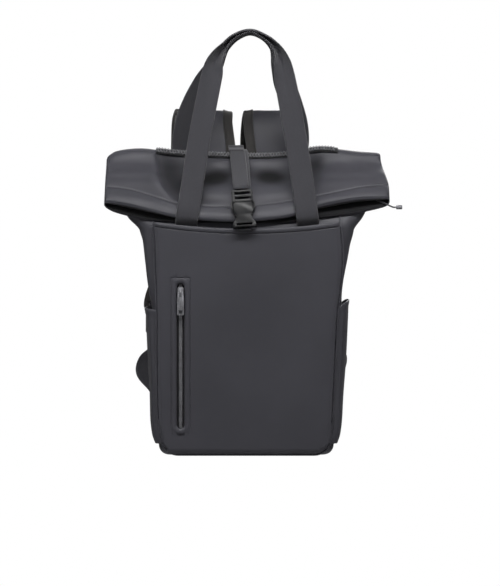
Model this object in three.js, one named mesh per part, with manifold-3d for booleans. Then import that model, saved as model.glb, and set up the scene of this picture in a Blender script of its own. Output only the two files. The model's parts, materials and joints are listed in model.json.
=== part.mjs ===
// A roll-top backpack of charcoal coated cloth, shown as it hangs by its two carry handles.
// Millimetres, +Z up, the front faces -Y. Pieces are made with heights counted from the base,
// and the last lines move the whole bag so that the origin is the point it hangs from.

import * as THREE from 'three';
import { mergeVertices } from 'three/addons/utils/BufferGeometryUtils.js';
import Module from 'manifold-3d';

const wasm = await Module();
wasm.setup();

// Cloth, webbing and clearances
const clothWall = 1.6;
const panelWall = 1.8;
const pocketWall = 1.5;
const webThick = 1.8;
const seat = 0.35;

// Main bag
const bodyHalfWidth = 142;
const bodyDepth = 140;
const bodyCorner = 22;
const baseRound = 14;
const shoulderHeight = 322;
const rimHeight = 414;

// Folded top
const flapHalfWidth = 204;
const foldHeight = 441;
const mouthHeight = 333;
const layerGap = 5.0;
const foldBore = 3.0;
const foldLine = 21;
const flapWall = clothWall;
const flapClear = 2.2;
const mouthGape = 6;

// Front pocket and its zip
const panelHalfWidth = 131;
const panelTop = 332;
const panelStand = 3.0;
const panelRound = 22;
const panelFoot = 3;
const slitWidth = 13;
const slitHeight = 209;
const slitFoot = 37.5;
const slitCentre = -94.5;
const slitCut = 40;
const coilWidth = 5;
const coilShort = 4;
const coilRise = 0.4;
const tapeBorder = 4;

// Zip pull
const tabWidth = 10;
const tabLength = 33;
const tabThick = 1.5;
const tabHeadroom = 13.5;
const pullBar = 1.7;
const tabTaper = 1.4;
const tabShoulder = 9;
const tabRound = 2;
const tabEye = 6.4;
const eyeRoom = 0.9;
const tabSlot = { rim: 2.2, foot: 2.4, head: 7.2 };
const sliderWide = 8.6;
const sliderHigh = 13;
const sliderDeep = 2.4;
const sliderRise = 0.6;
const bridgeWide = 2.4;
const bridgeThick = 1.1;
const bridgeBelow = 4.3;
const bridgeAbove = 4.7;
const bridgeRoot = 0.6;
const bridgePlay = 0.3;
const tabHingeHeight = slitFoot + slitHeight - tabHeadroom;

// Side pockets
const pocketLip = 207;
const pocketStand = 6.0;
const pocketFoot = 17;
const leftLipRise = 3;
const rightLipRise = 15;
const pocketEase = 1.2;

// Handles
const webWidth = 34;
const foldedThick = 10;
const handleTop = 609;
const frontSpread = 87;
const rearSpread = 94;

// Shoulder straps
const strapWidth = 80;
const strapThick = 11;
const strapRoot = 368;
const strapTop = 496;
const strapSpread = 51;
const strapReach = 60;
const strapSway = 13.5;
const tailWidth = 25;
const adjusterWidth = 34;
const adjusterHeight = 33;
const adjusterThick = 5;
const hangGap = 2.4;
const lockRim = 4;
const lockRound = 0.8;
const lockCorner = 3;

// Back panel
const backHalfWidth = 122;
const backFoot = 20;
const backTop = 388;
const backPad = 6;
const backNarrow = 0.78;

// Closing strap and buckle
const closeWidth = 25;
const buckleLength = 56;
const buckleThick = 9;
const buckleTilt = 20;
const buckleLean = 4.5;
const buckleFootHeight = 325;
const buckleCentre = -3;
const buckleSplit = 0.66;
const buckleRim = 4;
const anchorWidth = 21;
const strapStartDrop = 14;
const strapStartGap = 3;

// The receiving half's outline: its foot plate, the waist over it and the shoulders at its
// mouth, as places over the foot and as steps in from its full half width.
const socketShape = {
  footHigh: 5, footBend: 9, waistStart: 10, waist: 16, waistEnd: 21, shoulderBend: 22,
  shoulder: 26, waistIn: 6, shoulderIn: 1.5, mouthIn: 3,
};
// The anchor webbing's way from behind the front panel over its top edge: up is measured from
// that edge, over is the share of the way over it, and ahead the distance past it.
const anchorRows = [
  { up: -12, over: 0, ahead: 0 },
  { up: -2, over: 0, ahead: 0 },
  { up: 1.9, over: 1, ahead: 0 },
  { up: -0.2, over: 1, ahead: 5 },
];
const footSlot = { half: 11, foot: 2.6, head: 5.4 };
const cavity = { wide: 13, deep: 4.2, from: 18, past: 2 };
const latchSlots = { upperInset: 5, upperHigh: 4, lowerInset: 6.5, lowerHigh: 3.4 };

// Top zip
const zipTape = 1.0;
const zipTooth = 3.2;
const zipReach = 132;

const ductHalf = flapWall + layerGap / 2;
const bendRadius = foldBore + ductHalf;
const foldOuter = foldBore + 2 * ductHalf;
const fullTurn = 2 * Math.PI;

const colours = {
  coated: { color: 0x4c4c50, roughness: 0.62, metalness: 0 },
  webbing: { color: 0x47474a, roughness: 0.85, metalness: 0 },
  padding: { color: 0x3a3a3e, roughness: 0.8, metalness: 0 },
  plastic: { color: 0x232326, roughness: 0.38, metalness: 0 },
  tape: { color: 0x19191c, roughness: 0.8, metalness: 0 },
  gunmetal: { color: 0x8b8b90, roughness: 0.35, metalness: 0.9 },
};

const bag = new THREE.Group();

// Tables

function lookup(rows, key, column, at) {
  // A smooth curve through the rows of a table: cubic between rows, with the slope at each
  // row taken from its two neighbours.
  const last = rows.length - 1;
  const x = THREE.MathUtils.clamp(at, rows[0][key], rows[last][key]);
  let i = 0;
  while (i < last - 1 && x > rows[i + 1][key]) i += 1;
  const slope = (k) => {
    const a = rows[Math.max(k - 1, 0)];
    const b = rows[Math.min(k + 1, last)];
    return (b[column] - a[column]) / (b[key] - a[key]);
  };
  const span = rows[i + 1][key] - rows[i][key];
  const t = (x - rows[i][key]) / span;
  const t2 = t * t;
  const t3 = t2 * t;
  return (2 * t3 - 3 * t2 + 1) * rows[i][column] + (t3 - 2 * t2 + t) * span * slope(i)
    + (3 * t2 - 2 * t3) * rows[i + 1][column] + (t3 - t2) * span * slope(i + 1);
}

// The bag's outline. up runs from 0 at the base to 1 at the shoulder and 2 at the neck's rim.
// left and right are shares of the body's half width, flare is the share of the way from the
// body's width to the flap's, front and back the share of the way from the body's faces to
// the rim, and round the corner as a share of the body's.
const bodyRows = [
  { up: 0.04, left: 0.887, right: 0.873, flare: 0, front: 0, back: 0, round: 1 },
  { up: 0.09, left: 0.922, right: 0.905, flare: 0, front: 0, back: 0, round: 1 },
  { up: 0.22, left: 0.937, right: 0.923, flare: 0, front: 0, back: 0, round: 1 },
  { up: 0.42, left: 0.944, right: 0.944, flare: 0, front: 0, back: 0, round: 1 },
  { up: 0.64, left: 0.955, right: 0.955, flare: 0, front: 0, back: 0, round: 1 },
  { up: 0.74, left: 0.99, right: 0.958, flare: 0, front: 0, back: 0, round: 1 },
  { up: 0.86, left: 1.02, right: 1.0, flare: 0, front: 0, back: 0, round: 1 },
  { up: 1.0, left: 1.05, right: 1.05, flare: 0.05, front: 0, back: 0, round: 1 },
  { up: 1.14, left: 1.0, right: 1.0, flare: 0.39, front: 0.055, back: 0, round: 1.1 },
  { up: 1.25, left: 1.0, right: 1.0, flare: 0.52, front: 0.12, back: 0, round: 1.1 },
  { up: 1.41, left: 1.0, right: 1.0, flare: 0.65, front: 0.23, back: 0, round: 1 },
  { up: 1.57, left: 1.0, right: 1.0, flare: 0.76, front: 0.38, back: 0.02, round: 0.9 },
  { up: 1.7, left: 1.0, right: 1.0, flare: 0.84, front: 0.52, back: 0.06, round: 0.8 },
  { up: 1.79, left: 1.0, right: 1.0, flare: 0.89, front: 0.64, back: 0.2, round: 0.7 },
  { up: 1.87, left: 1.0, right: 1.0, flare: 0.93, front: 0.76, back: 0.5, round: 0.6 },
  { up: 1.95, left: 1.0, right: 1.0, flare: 0.98, front: 0.91, back: 0.82, round: 0.4 },
  { up: 2.0, left: 1.0, right: 1.0, flare: 1, front: 1, back: 1, round: 0.4 },
];

// The flap across its width, in shares of its half width. dip is how far the fold lies under
// its highest point, outer and lower are the heights of the two mouth edges over the lowest
// one, all as shares of the flap's drop, and gape is how far the mouth stands open.
const flapRows = [
  { across: -1.0, dip: 0.12, outer: 0.26, lower: 0.2, gape: 0.1 },
  { across: -0.93, dip: 0.04, outer: 0.25, lower: 0.13, gape: 0.5 },
  { across: -0.77, dip: 0.0, outer: 0.19, lower: 0.05, gape: 1.0 },
  { across: -0.64, dip: 0.02, outer: 0.13, lower: 0.01, gape: 0.8 },
  { across: -0.5, dip: 0.05, outer: 0.065, lower: -0.005, gape: 0.1 },
  { across: -0.29, dip: 0.075, outer: 0.02, lower: -0.01, gape: 0.1 },
  { across: -0.05, dip: 0.09, outer: 0.0, lower: -0.015, gape: 0 },
  { across: 0.15, dip: 0.09, outer: 0.03, lower: -0.015, gape: 0.15 },
  { across: 0.3, dip: 0.065, outer: 0.075, lower: -0.01, gape: 0.2 },
  { across: 0.5, dip: 0.0, outer: 0.2, lower: 0.04, gape: 0.6 },
  { across: 0.64, dip: 0.01, outer: 0.26, lower: 0.075, gape: 1.0 },
  { across: 0.79, dip: 0.04, outer: 0.305, lower: 0.12, gape: 1.0 },
  { across: 0.95, dip: 0.065, outer: 0.315, lower: 0.19, gape: 0.5 },
  { across: 1.0, dip: 0.1, outer: 0.315, lower: 0.23, gape: 0.1 },
];
// The right end of the fold is drawn in, as a share of the flap's half width.
const rightTuck = 0.95;
const bendAngle = 0.75 * Math.PI;

// The front pocket's two edges, as shares of its half width, against its height.
const panelRows = [
  { up: 0.0, left: 0.915, right: 0.9 },
  { up: 0.1, left: 0.955, right: 0.918 },
  { up: 0.36, left: 0.968, right: 0.947 },
  { up: 0.6, left: 0.97, right: 0.977 },
  { up: 0.7, left: 0.978, right: 1.008 },
  { up: 0.85, left: 0.99, right: 1.03 },
  { up: 1.0, left: 1.008, right: 1.0 },
];
const panelDip = 10;
const edgeSeat = 0.8;
const panelLean = 0.4;

// The handles' routes. out is a share of the legs' spread, up of the rise from the seam to the
// top, reach of the way from the top's place to the seam's in depth, and flat is 1 where the
// webbing lies flat and 0 where it is folded in half lengthwise.
const frontHandleRows = [
  { out: -0.995, up: -0.05, reach: 1.0, flat: 1 },
  { out: -0.992, up: -0.014, reach: 1.0, flat: 1 },
  { out: -0.985, up: 0.02, reach: 1.1, flat: 1 },
  { out: -0.96, up: 0.06, reach: 1.1, flat: 1 },
  { out: -0.914, up: 0.155, reach: 0.975, flat: 1 },
  { out: -0.784, up: 0.433, reach: 0.64, flat: 1 },
  { out: -0.68, up: 0.61, reach: 0.443, flat: 0.98 },
  { out: -0.58, up: 0.769, reach: 0.263, flat: 0.85 },
  { out: -0.53, up: 0.841, reach: 0.18, flat: 0.5 },
  { out: -0.37, up: 0.924, reach: 0.087, flat: 0.12 },
  { out: -0.195, up: 0.975, reach: 0.03, flat: 0.04 },
  { out: 0.05, up: 1.0, reach: 0.0, flat: 0 },
  { out: 0.25, up: 0.978, reach: 0.03, flat: 0.04 },
  { out: 0.46, up: 0.928, reach: 0.085, flat: 0.12 },
  { out: 0.58, up: 0.845, reach: 0.18, flat: 0.45 },
  { out: 0.62, up: 0.762, reach: 0.27, flat: 0.8 },
  { out: 0.695, up: 0.635, reach: 0.415, flat: 0.95 },
  { out: 0.808, up: 0.422, reach: 0.655, flat: 1 },
  { out: 0.88, up: 0.278, reach: 0.825, flat: 1 },
  { out: 0.975, up: 0.06, reach: 1.1, flat: 1 },
  { out: 0.993, up: 0.02, reach: 1.1, flat: 1 },
  { out: 1.0, up: -0.014, reach: 1.0, flat: 1 },
  { out: 1.0, up: -0.05, reach: 1.0, flat: 1 },
];
const rearHandleRows = [
  { out: -1.01, up: -0.04, reach: 1.0, flat: 1 },
  { out: -1.01, up: 0.02, reach: 1.0, flat: 1 },
  { out: -1.005, up: 0.212, reach: 0.97, flat: 1 },
  { out: -0.995, up: 0.32, reach: 0.88, flat: 1 },
  { out: -0.936, up: 0.443, reach: 0.74, flat: 1 },
  { out: -0.82, up: 0.56, reach: 0.58, flat: 0.97 },
  { out: -0.66, up: 0.68, reach: 0.4, flat: 0.85 },
  { out: -0.48, up: 0.797, reach: 0.22, flat: 0.5 },
  { out: -0.32, up: 0.906, reach: 0.09, flat: 0.12 },
  { out: -0.15, up: 0.97, reach: 0.02, flat: 0.04 },
  { out: 0.05, up: 1.0, reach: 0.0, flat: 0 },
  { out: 0.25, up: 0.97, reach: 0.02, flat: 0.04 },
  { out: 0.4, up: 0.906, reach: 0.09, flat: 0.12 },
  { out: 0.49, up: 0.797, reach: 0.22, flat: 0.5 },
  { out: 0.575, up: 0.68, reach: 0.4, flat: 0.85 },
  { out: 0.7, up: 0.53, reach: 0.6, flat: 0.97 },
  { out: 0.777, up: 0.415, reach: 0.76, flat: 1 },
  { out: 0.803, up: 0.32, reach: 0.88, flat: 1 },
  { out: 0.793, up: 0.226, reach: 0.97, flat: 1 },
  { out: 0.8, up: 0.02, reach: 1.0, flat: 1 },
  { out: 0.8, up: -0.04, reach: 1.0, flat: 1 },
];

// A padded strap from its root on the back panel over its top and down. out is a share of the
// straps' spread, up of the rise from the root to the top, aft of the reach, and wide and
// thick are shares of its width and thickness. sway is the share of the sideways lean.
const strapRows = [
  { out: 1.0, up: 0.0, aft: 0.0, wide: 0.92, thick: 0.8, sway: 0.1 },
  { out: 1.0, up: 0.27, aft: 0.03, wide: 0.95, thick: 1, sway: 0.3 },
  { out: 1.0, up: 0.62, aft: 0.13, wide: 1.0, thick: 1, sway: 0.7 },
  { out: 1.0, up: 0.88, aft: 0.31, wide: 1.0, thick: 1, sway: 1 },
  { out: 1.0, up: 1.0, aft: 0.53, wide: 1.0, thick: 1, sway: 1 },
  { out: 1.02, up: 0.9, aft: 0.77, wide: 1.0, thick: 1, sway: 1.3 },
  { out: 1.02, up: 0.59, aft: 0.95, wide: 0.98, thick: 1, sway: 1.5 },
  { out: 1.12, up: 0.1, aft: 0.98, wide: 0.95, thick: 1, sway: 1.35 },
  { out: 1.42, up: -0.42, aft: 0.88, wide: 0.88, thick: 1, sway: 0.8 },
  { out: 1.88, up: -0.82, aft: 0.74, wide: 0.76, thick: 0.95, sway: 0.45 },
  { out: 2.28, up: -1.07, aft: 0.65, wide: 0.6, thick: 0.8, sway: 0.5 },
  { out: 2.47, up: -1.2, aft: 0.6, wide: 0.48, thick: 0.6, sway: 0.5 },
  { out: 2.5, up: -1.28, aft: 0.585, wide: 0.44, thick: 0.5, sway: 0.5 },
];

// The lower webbing of each side from the adjuster to the bag's corner: out is a share of the
// body's half width, up a share of the adjuster's height, aft a share of the adjuster's reach.
const tailRows = {
  left: [
    { out: 0.95, up: 0.77, aft: 0.87 },
    { out: 1.06, up: 0.69, aft: 0.75 },
    { out: 1.08, up: 0.6, aft: 0.57 },
    { out: 0.95, up: 0.48, aft: 0.34 },
    { out: 0.87, up: 0.36, aft: 0.1 },
    { out: 0.84, up: 0.26, aft: 0.02 },
    { out: 0.82, up: 0.16, aft: 0.0 },
  ],
  right: [
    { out: 0.91, up: 0.79, aft: 0.88 },
    { out: 0.965, up: 0.72, aft: 0.78 },
    { out: 0.94, up: 0.62, aft: 0.6 },
    { out: 0.88, up: 0.5, aft: 0.34 },
    { out: 0.85, up: 0.38, aft: 0.1 },
    { out: 0.82, up: 0.27, aft: 0.02 },
    { out: 0.8, up: 0.16, aft: 0.0 },
  ],
};

// The windows of a strap adjuster, as places and heights from its middle.
const adjusterWindows = [
  { at: 9, high: 4 },
  { at: 0, high: 3.6 },
  { at: -9, high: 4 },
];

// The zip round the fold: degrees counts from the fold's back, and tooth is the share of the
// teeth's height there.
const zipRows = [
  { degrees: 22, tooth: 0 },
  { degrees: 53, tooth: 0 },
  { degrees: 84, tooth: 0 },
  { degrees: 93, tooth: 1 },
  { degrees: 123, tooth: 1 },
  { degrees: 134, tooth: 0 },
];

// The closing strap over the fold: degrees as for the zip, and across its sideways place as a
// share of the strap's width.
const closingRows = [
  { degrees: 0, across: -0.64 },
  { degrees: 35, across: -0.64 },
  { degrees: 70, across: -0.62 },
  { degrees: 105, across: -0.6 },
  { degrees: 138, across: -0.56 },
];

// Solids

function loft(rings, closed = false) {
  // A closed skin over a row of rings with as many points each. An open row is closed at each
  // end by zipping the ring's two halves together.
  const size = rings[0].length;
  const positions = [];
  for (const ring of rings) for (const p of ring) positions.push(p.x, p.y, p.z);
  const index = [];
  const count = rings.length;
  for (let k = 0; k < (closed ? count : count - 1); k += 1) {
    const a = k * size;
    const b = ((k + 1) % count) * size;
    for (let i = 0; i < size; i += 1) {
      const j = (i + 1) % size;
      index.push(a + i, a + j, b + j, a + i, b + j, b + i);
    }
  }
  if (!closed) {
    for (const [base, turn] of [[0, 1], [(count - 1) * size, -1]]) {
      for (let i = 0; i < size / 2 - 1; i += 1) {
        const quad = [i, i + 1, size - 2 - i, size - 1 - i].map((n) => base + n);
        if (turn > 0) quad.reverse();
        index.push(quad[0], quad[1], quad[2], quad[0], quad[2], quad[3]);
      }
    }
  }
  return outward(positions, index);
}

function outward(positions, index) {
  // The geometry with its faces turned out: a negative volume means that they point in.
  let volume = 0;
  const point = (n) => new THREE.Vector3().fromArray(positions, 3 * n);
  for (let i = 0; i < index.length; i += 3) {
    const [a, b, c] = [point(index[i]), point(index[i + 1]), point(index[i + 2])];
    volume += a.dot(b.cross(c));
  }
  if (volume < 0) index.reverse();
  const geometry = new THREE.BufferGeometry();
  geometry.setAttribute('position', new THREE.Float32BufferAttribute(positions, 3));
  geometry.setIndex(index);
  return geometry;
}

function solid(geometry) {
  // The geometry as a solid that can be cut and joined.
  const bare = geometry.clone();
  bare.deleteAttribute('normal');
  bare.deleteAttribute('uv');
  const merged = mergeVertices(bare, 1e-4);
  return new wasm.Manifold(new wasm.Mesh({
    numProp: 3,
    vertProperties: new Float32Array(merged.attributes.position.array),
    triVerts: new Uint32Array(merged.index.array),
  }));
}

function geometryOf(body) {
  const mesh = body.getMesh();
  const geometry = new THREE.BufferGeometry();
  geometry.setAttribute('position', new THREE.BufferAttribute(mesh.vertProperties, 3));
  geometry.setIndex(new THREE.BufferAttribute(mesh.triVerts, 1));
  return geometry;
}

function box(width, depth, height, x = 0, y = 0, z = 0) {
  return new THREE.BoxGeometry(width, depth, height).translate(x, y, z);
}

function plate(outline, thick) {
  // A flat outline drawn in x and z, thick along y and centred on its own plane.
  const geometry = new THREE.ExtrudeGeometry(outline, {
    depth: thick, bevelEnabled: false, curveSegments: 3,
  });
  return geometry.translate(0, 0, -thick / 2).rotateX(Math.PI / 2);
}

function rounded(width, height, radius, Kind = THREE.Shape) {
  // A rectangle with round corners, centred on its own origin.
  const w = width / 2;
  const h = height / 2;
  const shape = new Kind();
  shape.absarc(w - radius, h - radius, radius, 0, Math.PI / 2);
  shape.absarc(-w + radius, h - radius, radius, Math.PI / 2, Math.PI);
  shape.absarc(-w + radius, -h + radius, radius, Math.PI, 1.5 * Math.PI);
  shape.absarc(w - radius, -h + radius, radius, 1.5 * Math.PI, fullTurn);
  return shape;
}

function window(half, foot, head) {
  // A square hole in a flat outline, as wide on both sides of its middle.
  return new THREE.Path([[-half, head], [-half, foot], [half, foot], [half, head]]
    .map(([x, z]) => new THREE.Vector2(x, z)));
}

function mesh(name, geometry, finish, parent = bag) {
  const piece = new THREE.Mesh(geometry, new THREE.MeshStandardMaterial(colours[finish]));
  piece.name = name;
  parent.add(piece);
  return piece;
}

// The bag's section

function bodySize(z) {
  // Half widths and the two faces of the bag's outer skin at a height.
  const up = z <= shoulderHeight
    ? z / shoulderHeight
    : 1 + (z - shoulderHeight) / (rimHeight - shoulderHeight);
  const read = (column) => lookup(bodyRows, 'up', column, up);
  const rightEnd = flapHalfWidth * rightTuck;
  const flare = read('flare');
  return {
    left: bodyHalfWidth * read('left') * (1 - flare) + flapHalfWidth * flare,
    right: bodyHalfWidth * read('right') * (1 - flare) + rightEnd * flare,
    front: THREE.MathUtils.lerp(-bodyDepth / 2, foldLine - ductHalf, read('front')),
    back: THREE.MathUtils.lerp(bodyDepth / 2, foldLine + ductHalf, read('back')),
    corner: bodyCorner * read('round'),
  };
}

function section(size, inset, flats) {
  // A rectangle with round corners, walked from its left front corner: the front from left to
  // right, then the right side, the back and the left side.
  const left = -size.left + inset;
  const right = size.right - inset;
  const front = size.front + inset;
  const back = size.back - inset;
  const radius = Math.min(Math.max(size.corner - inset, 0.5), (back - front) / 2 - 0.001);
  const points = [];
  const line = (x0, y0, x1, y1, steps) => {
    for (let i = 0; i < steps; i += 1) {
      points.push({ x: x0 + ((x1 - x0) * i) / steps, y: y0 + ((y1 - y0) * i) / steps });
    }
  };
  const arc = (x, y, start) => {
    for (let i = 0; i < flats.corner; i += 1) {
      const angle = start + (Math.PI / 2) * (i / flats.corner);
      points.push({ x: x + radius * Math.cos(angle), y: y + radius * Math.sin(angle) });
    }
  };
  line(left + radius, front, right - radius, front, flats.face);
  arc(right - radius, front + radius, -Math.PI / 2);
  line(right, front + radius, right, back - radius, flats.side);
  arc(right - radius, back - radius, 0);
  line(right - radius, back, left + radius, back, flats.face);
  arc(left + radius, back - radius, Math.PI / 2);
  line(left, back - radius, left, front + radius, flats.side);
  arc(left + radius, front + radius, Math.PI);
  return points;
}

function bagBody() {
  // Up the outer skin from the rounded base edge to the rim, and down the inner skin.
  const flats = { face: 8, corner: 3, side: 4 };
  const ring = (z, inset) => section(bodySize(z), inset, flats)
    .map((p) => new THREE.Vector3(p.x, p.y, z));
  const rings = [];
  for (let i = 0; i < 4; i += 1) {
    const angle = (Math.PI / 2) * (i / 4);
    rings.push(section(bodySize(baseRound), baseRound * (1 - Math.sin(angle)), flats)
      .map((p) => new THREE.Vector3(p.x, p.y, baseRound * (1 - Math.cos(angle)))));
  }
  const heights = bodyRows.map((row) => (row.up <= 1
    ? row.up * shoulderHeight
    : shoulderHeight + (row.up - 1) * (rimHeight - shoulderHeight)))
    .filter((z) => z > baseRound + 1);
  heights.unshift(baseRound);
  for (const z of heights) rings.push(ring(z, 0));
  for (const z of heights.slice().reverse()) rings.push(ring(z, clothWall));
  rings.push(section(bodySize(baseRound), baseRound * 0.5, flats)
    .map((p) => new THREE.Vector3(p.x, p.y, clothWall)));
  mesh('bag_body', loft(rings), 'coated');
}

// The folded top

const flapDrop = foldHeight - mouthHeight;

function neckFront(z) {
  return bodySize(z).front;
}

function flapFace(z, offset) {
  // The flap lies on the neck's sloping front. offset is measured square to that slope, and
  // this gives the depth at a height.
  const step = 4;
  const top = Math.min(z, rimHeight - 2 * step);
  const slope = (neckFront(top + step) - neckFront(top - step)) / (2 * step);
  const face = neckFront(top) - (ductHalf + flapClear + offset) * Math.hypot(1, slope);
  return face + (z - top) * slope;
}

function flapPoint(across, along, layer) {
  // across runs over the flap's width from -1 to 1, along from the rim over the fold to the
  // mouth from 0 to 1, and layer from -1, the lower skin, to 1, the outer one. Returns the
  // depth and height of that point of the tube.
  const read = (column) => lookup(flapRows, 'across', column, across);
  const centre = foldHeight - read('dip') * flapDrop - foldOuter;
  const centreY = foldLine - bendRadius;
  const radius = bendRadius + layer * ductHalf;
  const riser = 0.06;
  const bend = 0.3;
  if (along <= riser) {
    const start = rimHeight + seat;
    return { y: centreY + radius, z: start + (centre - start) * (along / riser) };
  }
  if (along <= bend) {
    const angle = bendAngle * ((along - riser) / (bend - riser));
    return { y: centreY + radius * Math.cos(angle), z: centre + radius * Math.sin(angle) };
  }
  const share = (along - bend) / (1 - bend);
  const edge = mouthHeight
    + flapDrop * THREE.MathUtils.lerp(read('lower'), read('outer'), (layer + 1) / 2);
  const top = centre + radius * Math.sin(bendAngle);
  const z = top + (edge - top) * share;
  const open = mouthGape * read('gape') * share * share * Math.max(layer, 0);
  const hung = flapFace(z, layer * ductHalf + open);
  const bent = centreY + radius * Math.cos(bendAngle) + (z - top);
  const blend = THREE.MathUtils.smoothstep(share, 0, 0.45);
  return { y: bent * (1 - blend) + hung * blend, z };
}

function rollTop() {
  // A flat tube: its outer skin from the rim to the mouth, then its inner skin back again.
  const flats = { face: 17, corner: 2, side: 1 };
  const stops = [0, 0.06, 0.12, 0.18, 0.24, 0.3, 0.4, 0.52, 0.66, 0.82, 1];
  const ring = (along, inset) => {
    const right = THREE.MathUtils.lerp(rightTuck, 1, THREE.MathUtils.smoothstep(along, 0.3, 0.8));
    const size = {
      left: flapHalfWidth, right: flapHalfWidth * right, front: -ductHalf, back: ductHalf,
      corner: ductHalf,
    };
    return section(size, inset, flats).map((p) => {
      const across = THREE.MathUtils.clamp(p.x / flapHalfWidth, -1, 1);
      const place = flapPoint(across, along, p.y / ductHalf);
      return new THREE.Vector3(p.x, place.y, place.z);
    });
  };
  const rings = stops.map((along) => ring(along, 0));
  rings.push(...stops.slice().reverse().map((along) => ring(along, flapWall)));
  mesh('roll_top', loft(rings, true), 'coated');
}

function topZip() {
  // Tape bent over the fold with a raised row of teeth along it, towards the front. Its flat
  // sides need room for the round fold between them.
  const steps = 22;
  const roundRoom = 0.55;
  const tape = foldOuter + seat + roundRoom;
  const rings = [];
  for (let i = 0; i <= steps; i += 1) {
    const x = -zipReach + (2 * zipReach * i) / steps;
    const dip = lookup(flapRows, 'across', 'dip', x / flapHalfWidth);
    const centre = foldHeight - dip * flapDrop - foldOuter;
    const at = (degrees, radius) => new THREE.Vector3(
      x,
      foldLine - bendRadius + radius * Math.cos(THREE.MathUtils.degToRad(degrees)),
      centre + radius * Math.sin(THREE.MathUtils.degToRad(degrees)),
    );
    const ring = zipRows.map((row) => at(row.degrees, tape + zipTape + row.tooth * zipTooth));
    ring.push(...zipRows.map((row) => at(row.degrees, tape)).reverse());
    rings.push(ring);
  }
  mesh('top_zip', loft(rings), 'tape');
}

// Front pocket

function panelFace(z) {
  // The depth of the front panel's inner face. Its top leans back with the neck.
  const lean = panelLean * THREE.MathUtils.smoothstep(z, 0.86 * panelTop, panelTop);
  return -bodyDepth / 2 - panelStand + lean;
}

function frontPocket() {
  const columns = 14;
  const rows = 14;
  const rings = [];
  for (let j = 0; j <= rows; j += 1) {
    const front = [];
    const back = [];
    for (let i = 0; i <= columns; i += 1) {
      const share = (2 * i) / columns - 1;
      const rise = j / rows;
      const half = panelHalfWidth
        * lookup(panelRows, 'up', share < 0 ? 'left' : 'right', rise);
      const x = share * half;
      const edge = Math.max(Math.abs(x) - (half - panelRound), 0);
      const foot = panelFoot + panelRound - Math.sqrt(Math.max(panelRound ** 2 - edge ** 2, 0));
      const top = panelTop - panelDip * (1 - share * share);
      const z = foot + (top - foot) * rise;
      const curl = Math.max(THREE.MathUtils.smoothstep(Math.abs(share), 0.93, 1),
        1 - THREE.MathUtils.smoothstep(rise, 0, 0.03));
      const sewn = -bodyDepth / 2 - edgeSeat;
      const inner = THREE.MathUtils.lerp(panelFace(z), sewn, curl);
      front.push(new THREE.Vector3(x, inner - panelWall, z));
      back.push(new THREE.Vector3(x, inner, z));
    }
    rings.push([...front, ...back.reverse()]);
  }
  const slit = plate(rounded(slitWidth, slitHeight, slitWidth / 2 - 0.1), slitCut)
    .translate(slitCentre, -bodyDepth / 2, slitFoot + slitHeight / 2);
  mesh('front_pocket', geometryOf(solid(loft(rings)).subtract(solid(slit))), 'coated');
}

function pocketZip() {
  // Tape behind the slit, with the closed coil standing forward in it.
  const room = panelStand - 2 * seat;
  const tapeThick = room * 0.6;
  const middle = slitFoot + slitHeight / 2;
  const tapeY = -bodyDepth / 2 - seat - tapeThick / 2;
  const tapeShape = rounded(slitWidth + 2 * tapeBorder, slitHeight + 2 * tapeBorder, tapeBorder);
  const tape = plate(tapeShape, tapeThick).translate(slitCentre, tapeY, middle);
  const coilDeep = room + panelWall * coilRise;
  const coil = box(coilWidth, coilDeep, slitHeight - coilShort, slitCentre,
    -bodyDepth / 2 - seat - coilDeep / 2, middle);
  mesh('pocket_zip', geometryOf(solid(tape).add(solid(coil))), 'tape');
}

function zipPull() {
  // The slider is a small block with a bridge over it. The tab's top bar lies under the
  // bridge, and the tab hangs from it.
  const coilFace = -bodyDepth / 2 - seat - (panelStand - 2 * seat) - panelWall * coilRise;
  const bridgeFoot = tabHingeHeight - bridgeBelow;
  const under = pullBar + 2 * seat + bridgePlay;
  const face = coilFace - seat - sliderDeep;
  const block = plate(rounded(sliderWide, sliderHigh, tabRound), sliderDeep)
    .translate(slitCentre, face + sliderDeep / 2, tabHingeHeight + sliderRise);
  const rise = bridgeBelow + bridgeAbove;
  const bridge = solid(box(bridgeWide, under + bridgeThick + bridgeRoot, rise, slitCentre,
    face - (under + bridgeThick - bridgeRoot) / 2, bridgeFoot + rise / 2));
  const hollow = solid(box(2 * bridgeWide, under, rise - 2 * bridgeThick, slitCentre,
    face - under / 2, bridgeFoot + rise / 2));
  mesh('pocket_zip_slider', geometryOf(solid(block).add(bridge.subtract(hollow))), 'gunmetal');

  const hingeY = face - under / 2;
  const tab = new THREE.Shape();
  const half = tabWidth / 2;
  const neck = half - tabTaper;
  const top = pullBar / 2;
  const foot = -tabLength;
  tab.moveTo(-neck, top);
  tab.lineTo(neck, top);
  tab.lineTo(half, -tabShoulder);
  tab.absarc(half - tabRound, foot + tabRound, tabRound, 0, -Math.PI / 2, true);
  tab.absarc(-half + tabRound, foot + tabRound, tabRound, -Math.PI / 2, -Math.PI, true);
  tab.lineTo(-half, -tabShoulder);
  const eyeHalf = bridgeWide / 2 + eyeRoom;
  tab.holes.push(window(eyeHalf, -tabEye, -pullBar / 2));
  tab.holes.push(window(half - tabSlot.rim, foot + tabSlot.foot, foot + tabSlot.head));
  const pull = mesh('pocket_pull_tab', plate(tab, tabThick), 'gunmetal');
  pull.position.set(slitCentre, hingeY, tabHingeHeight);
}

// Side pockets

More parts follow.
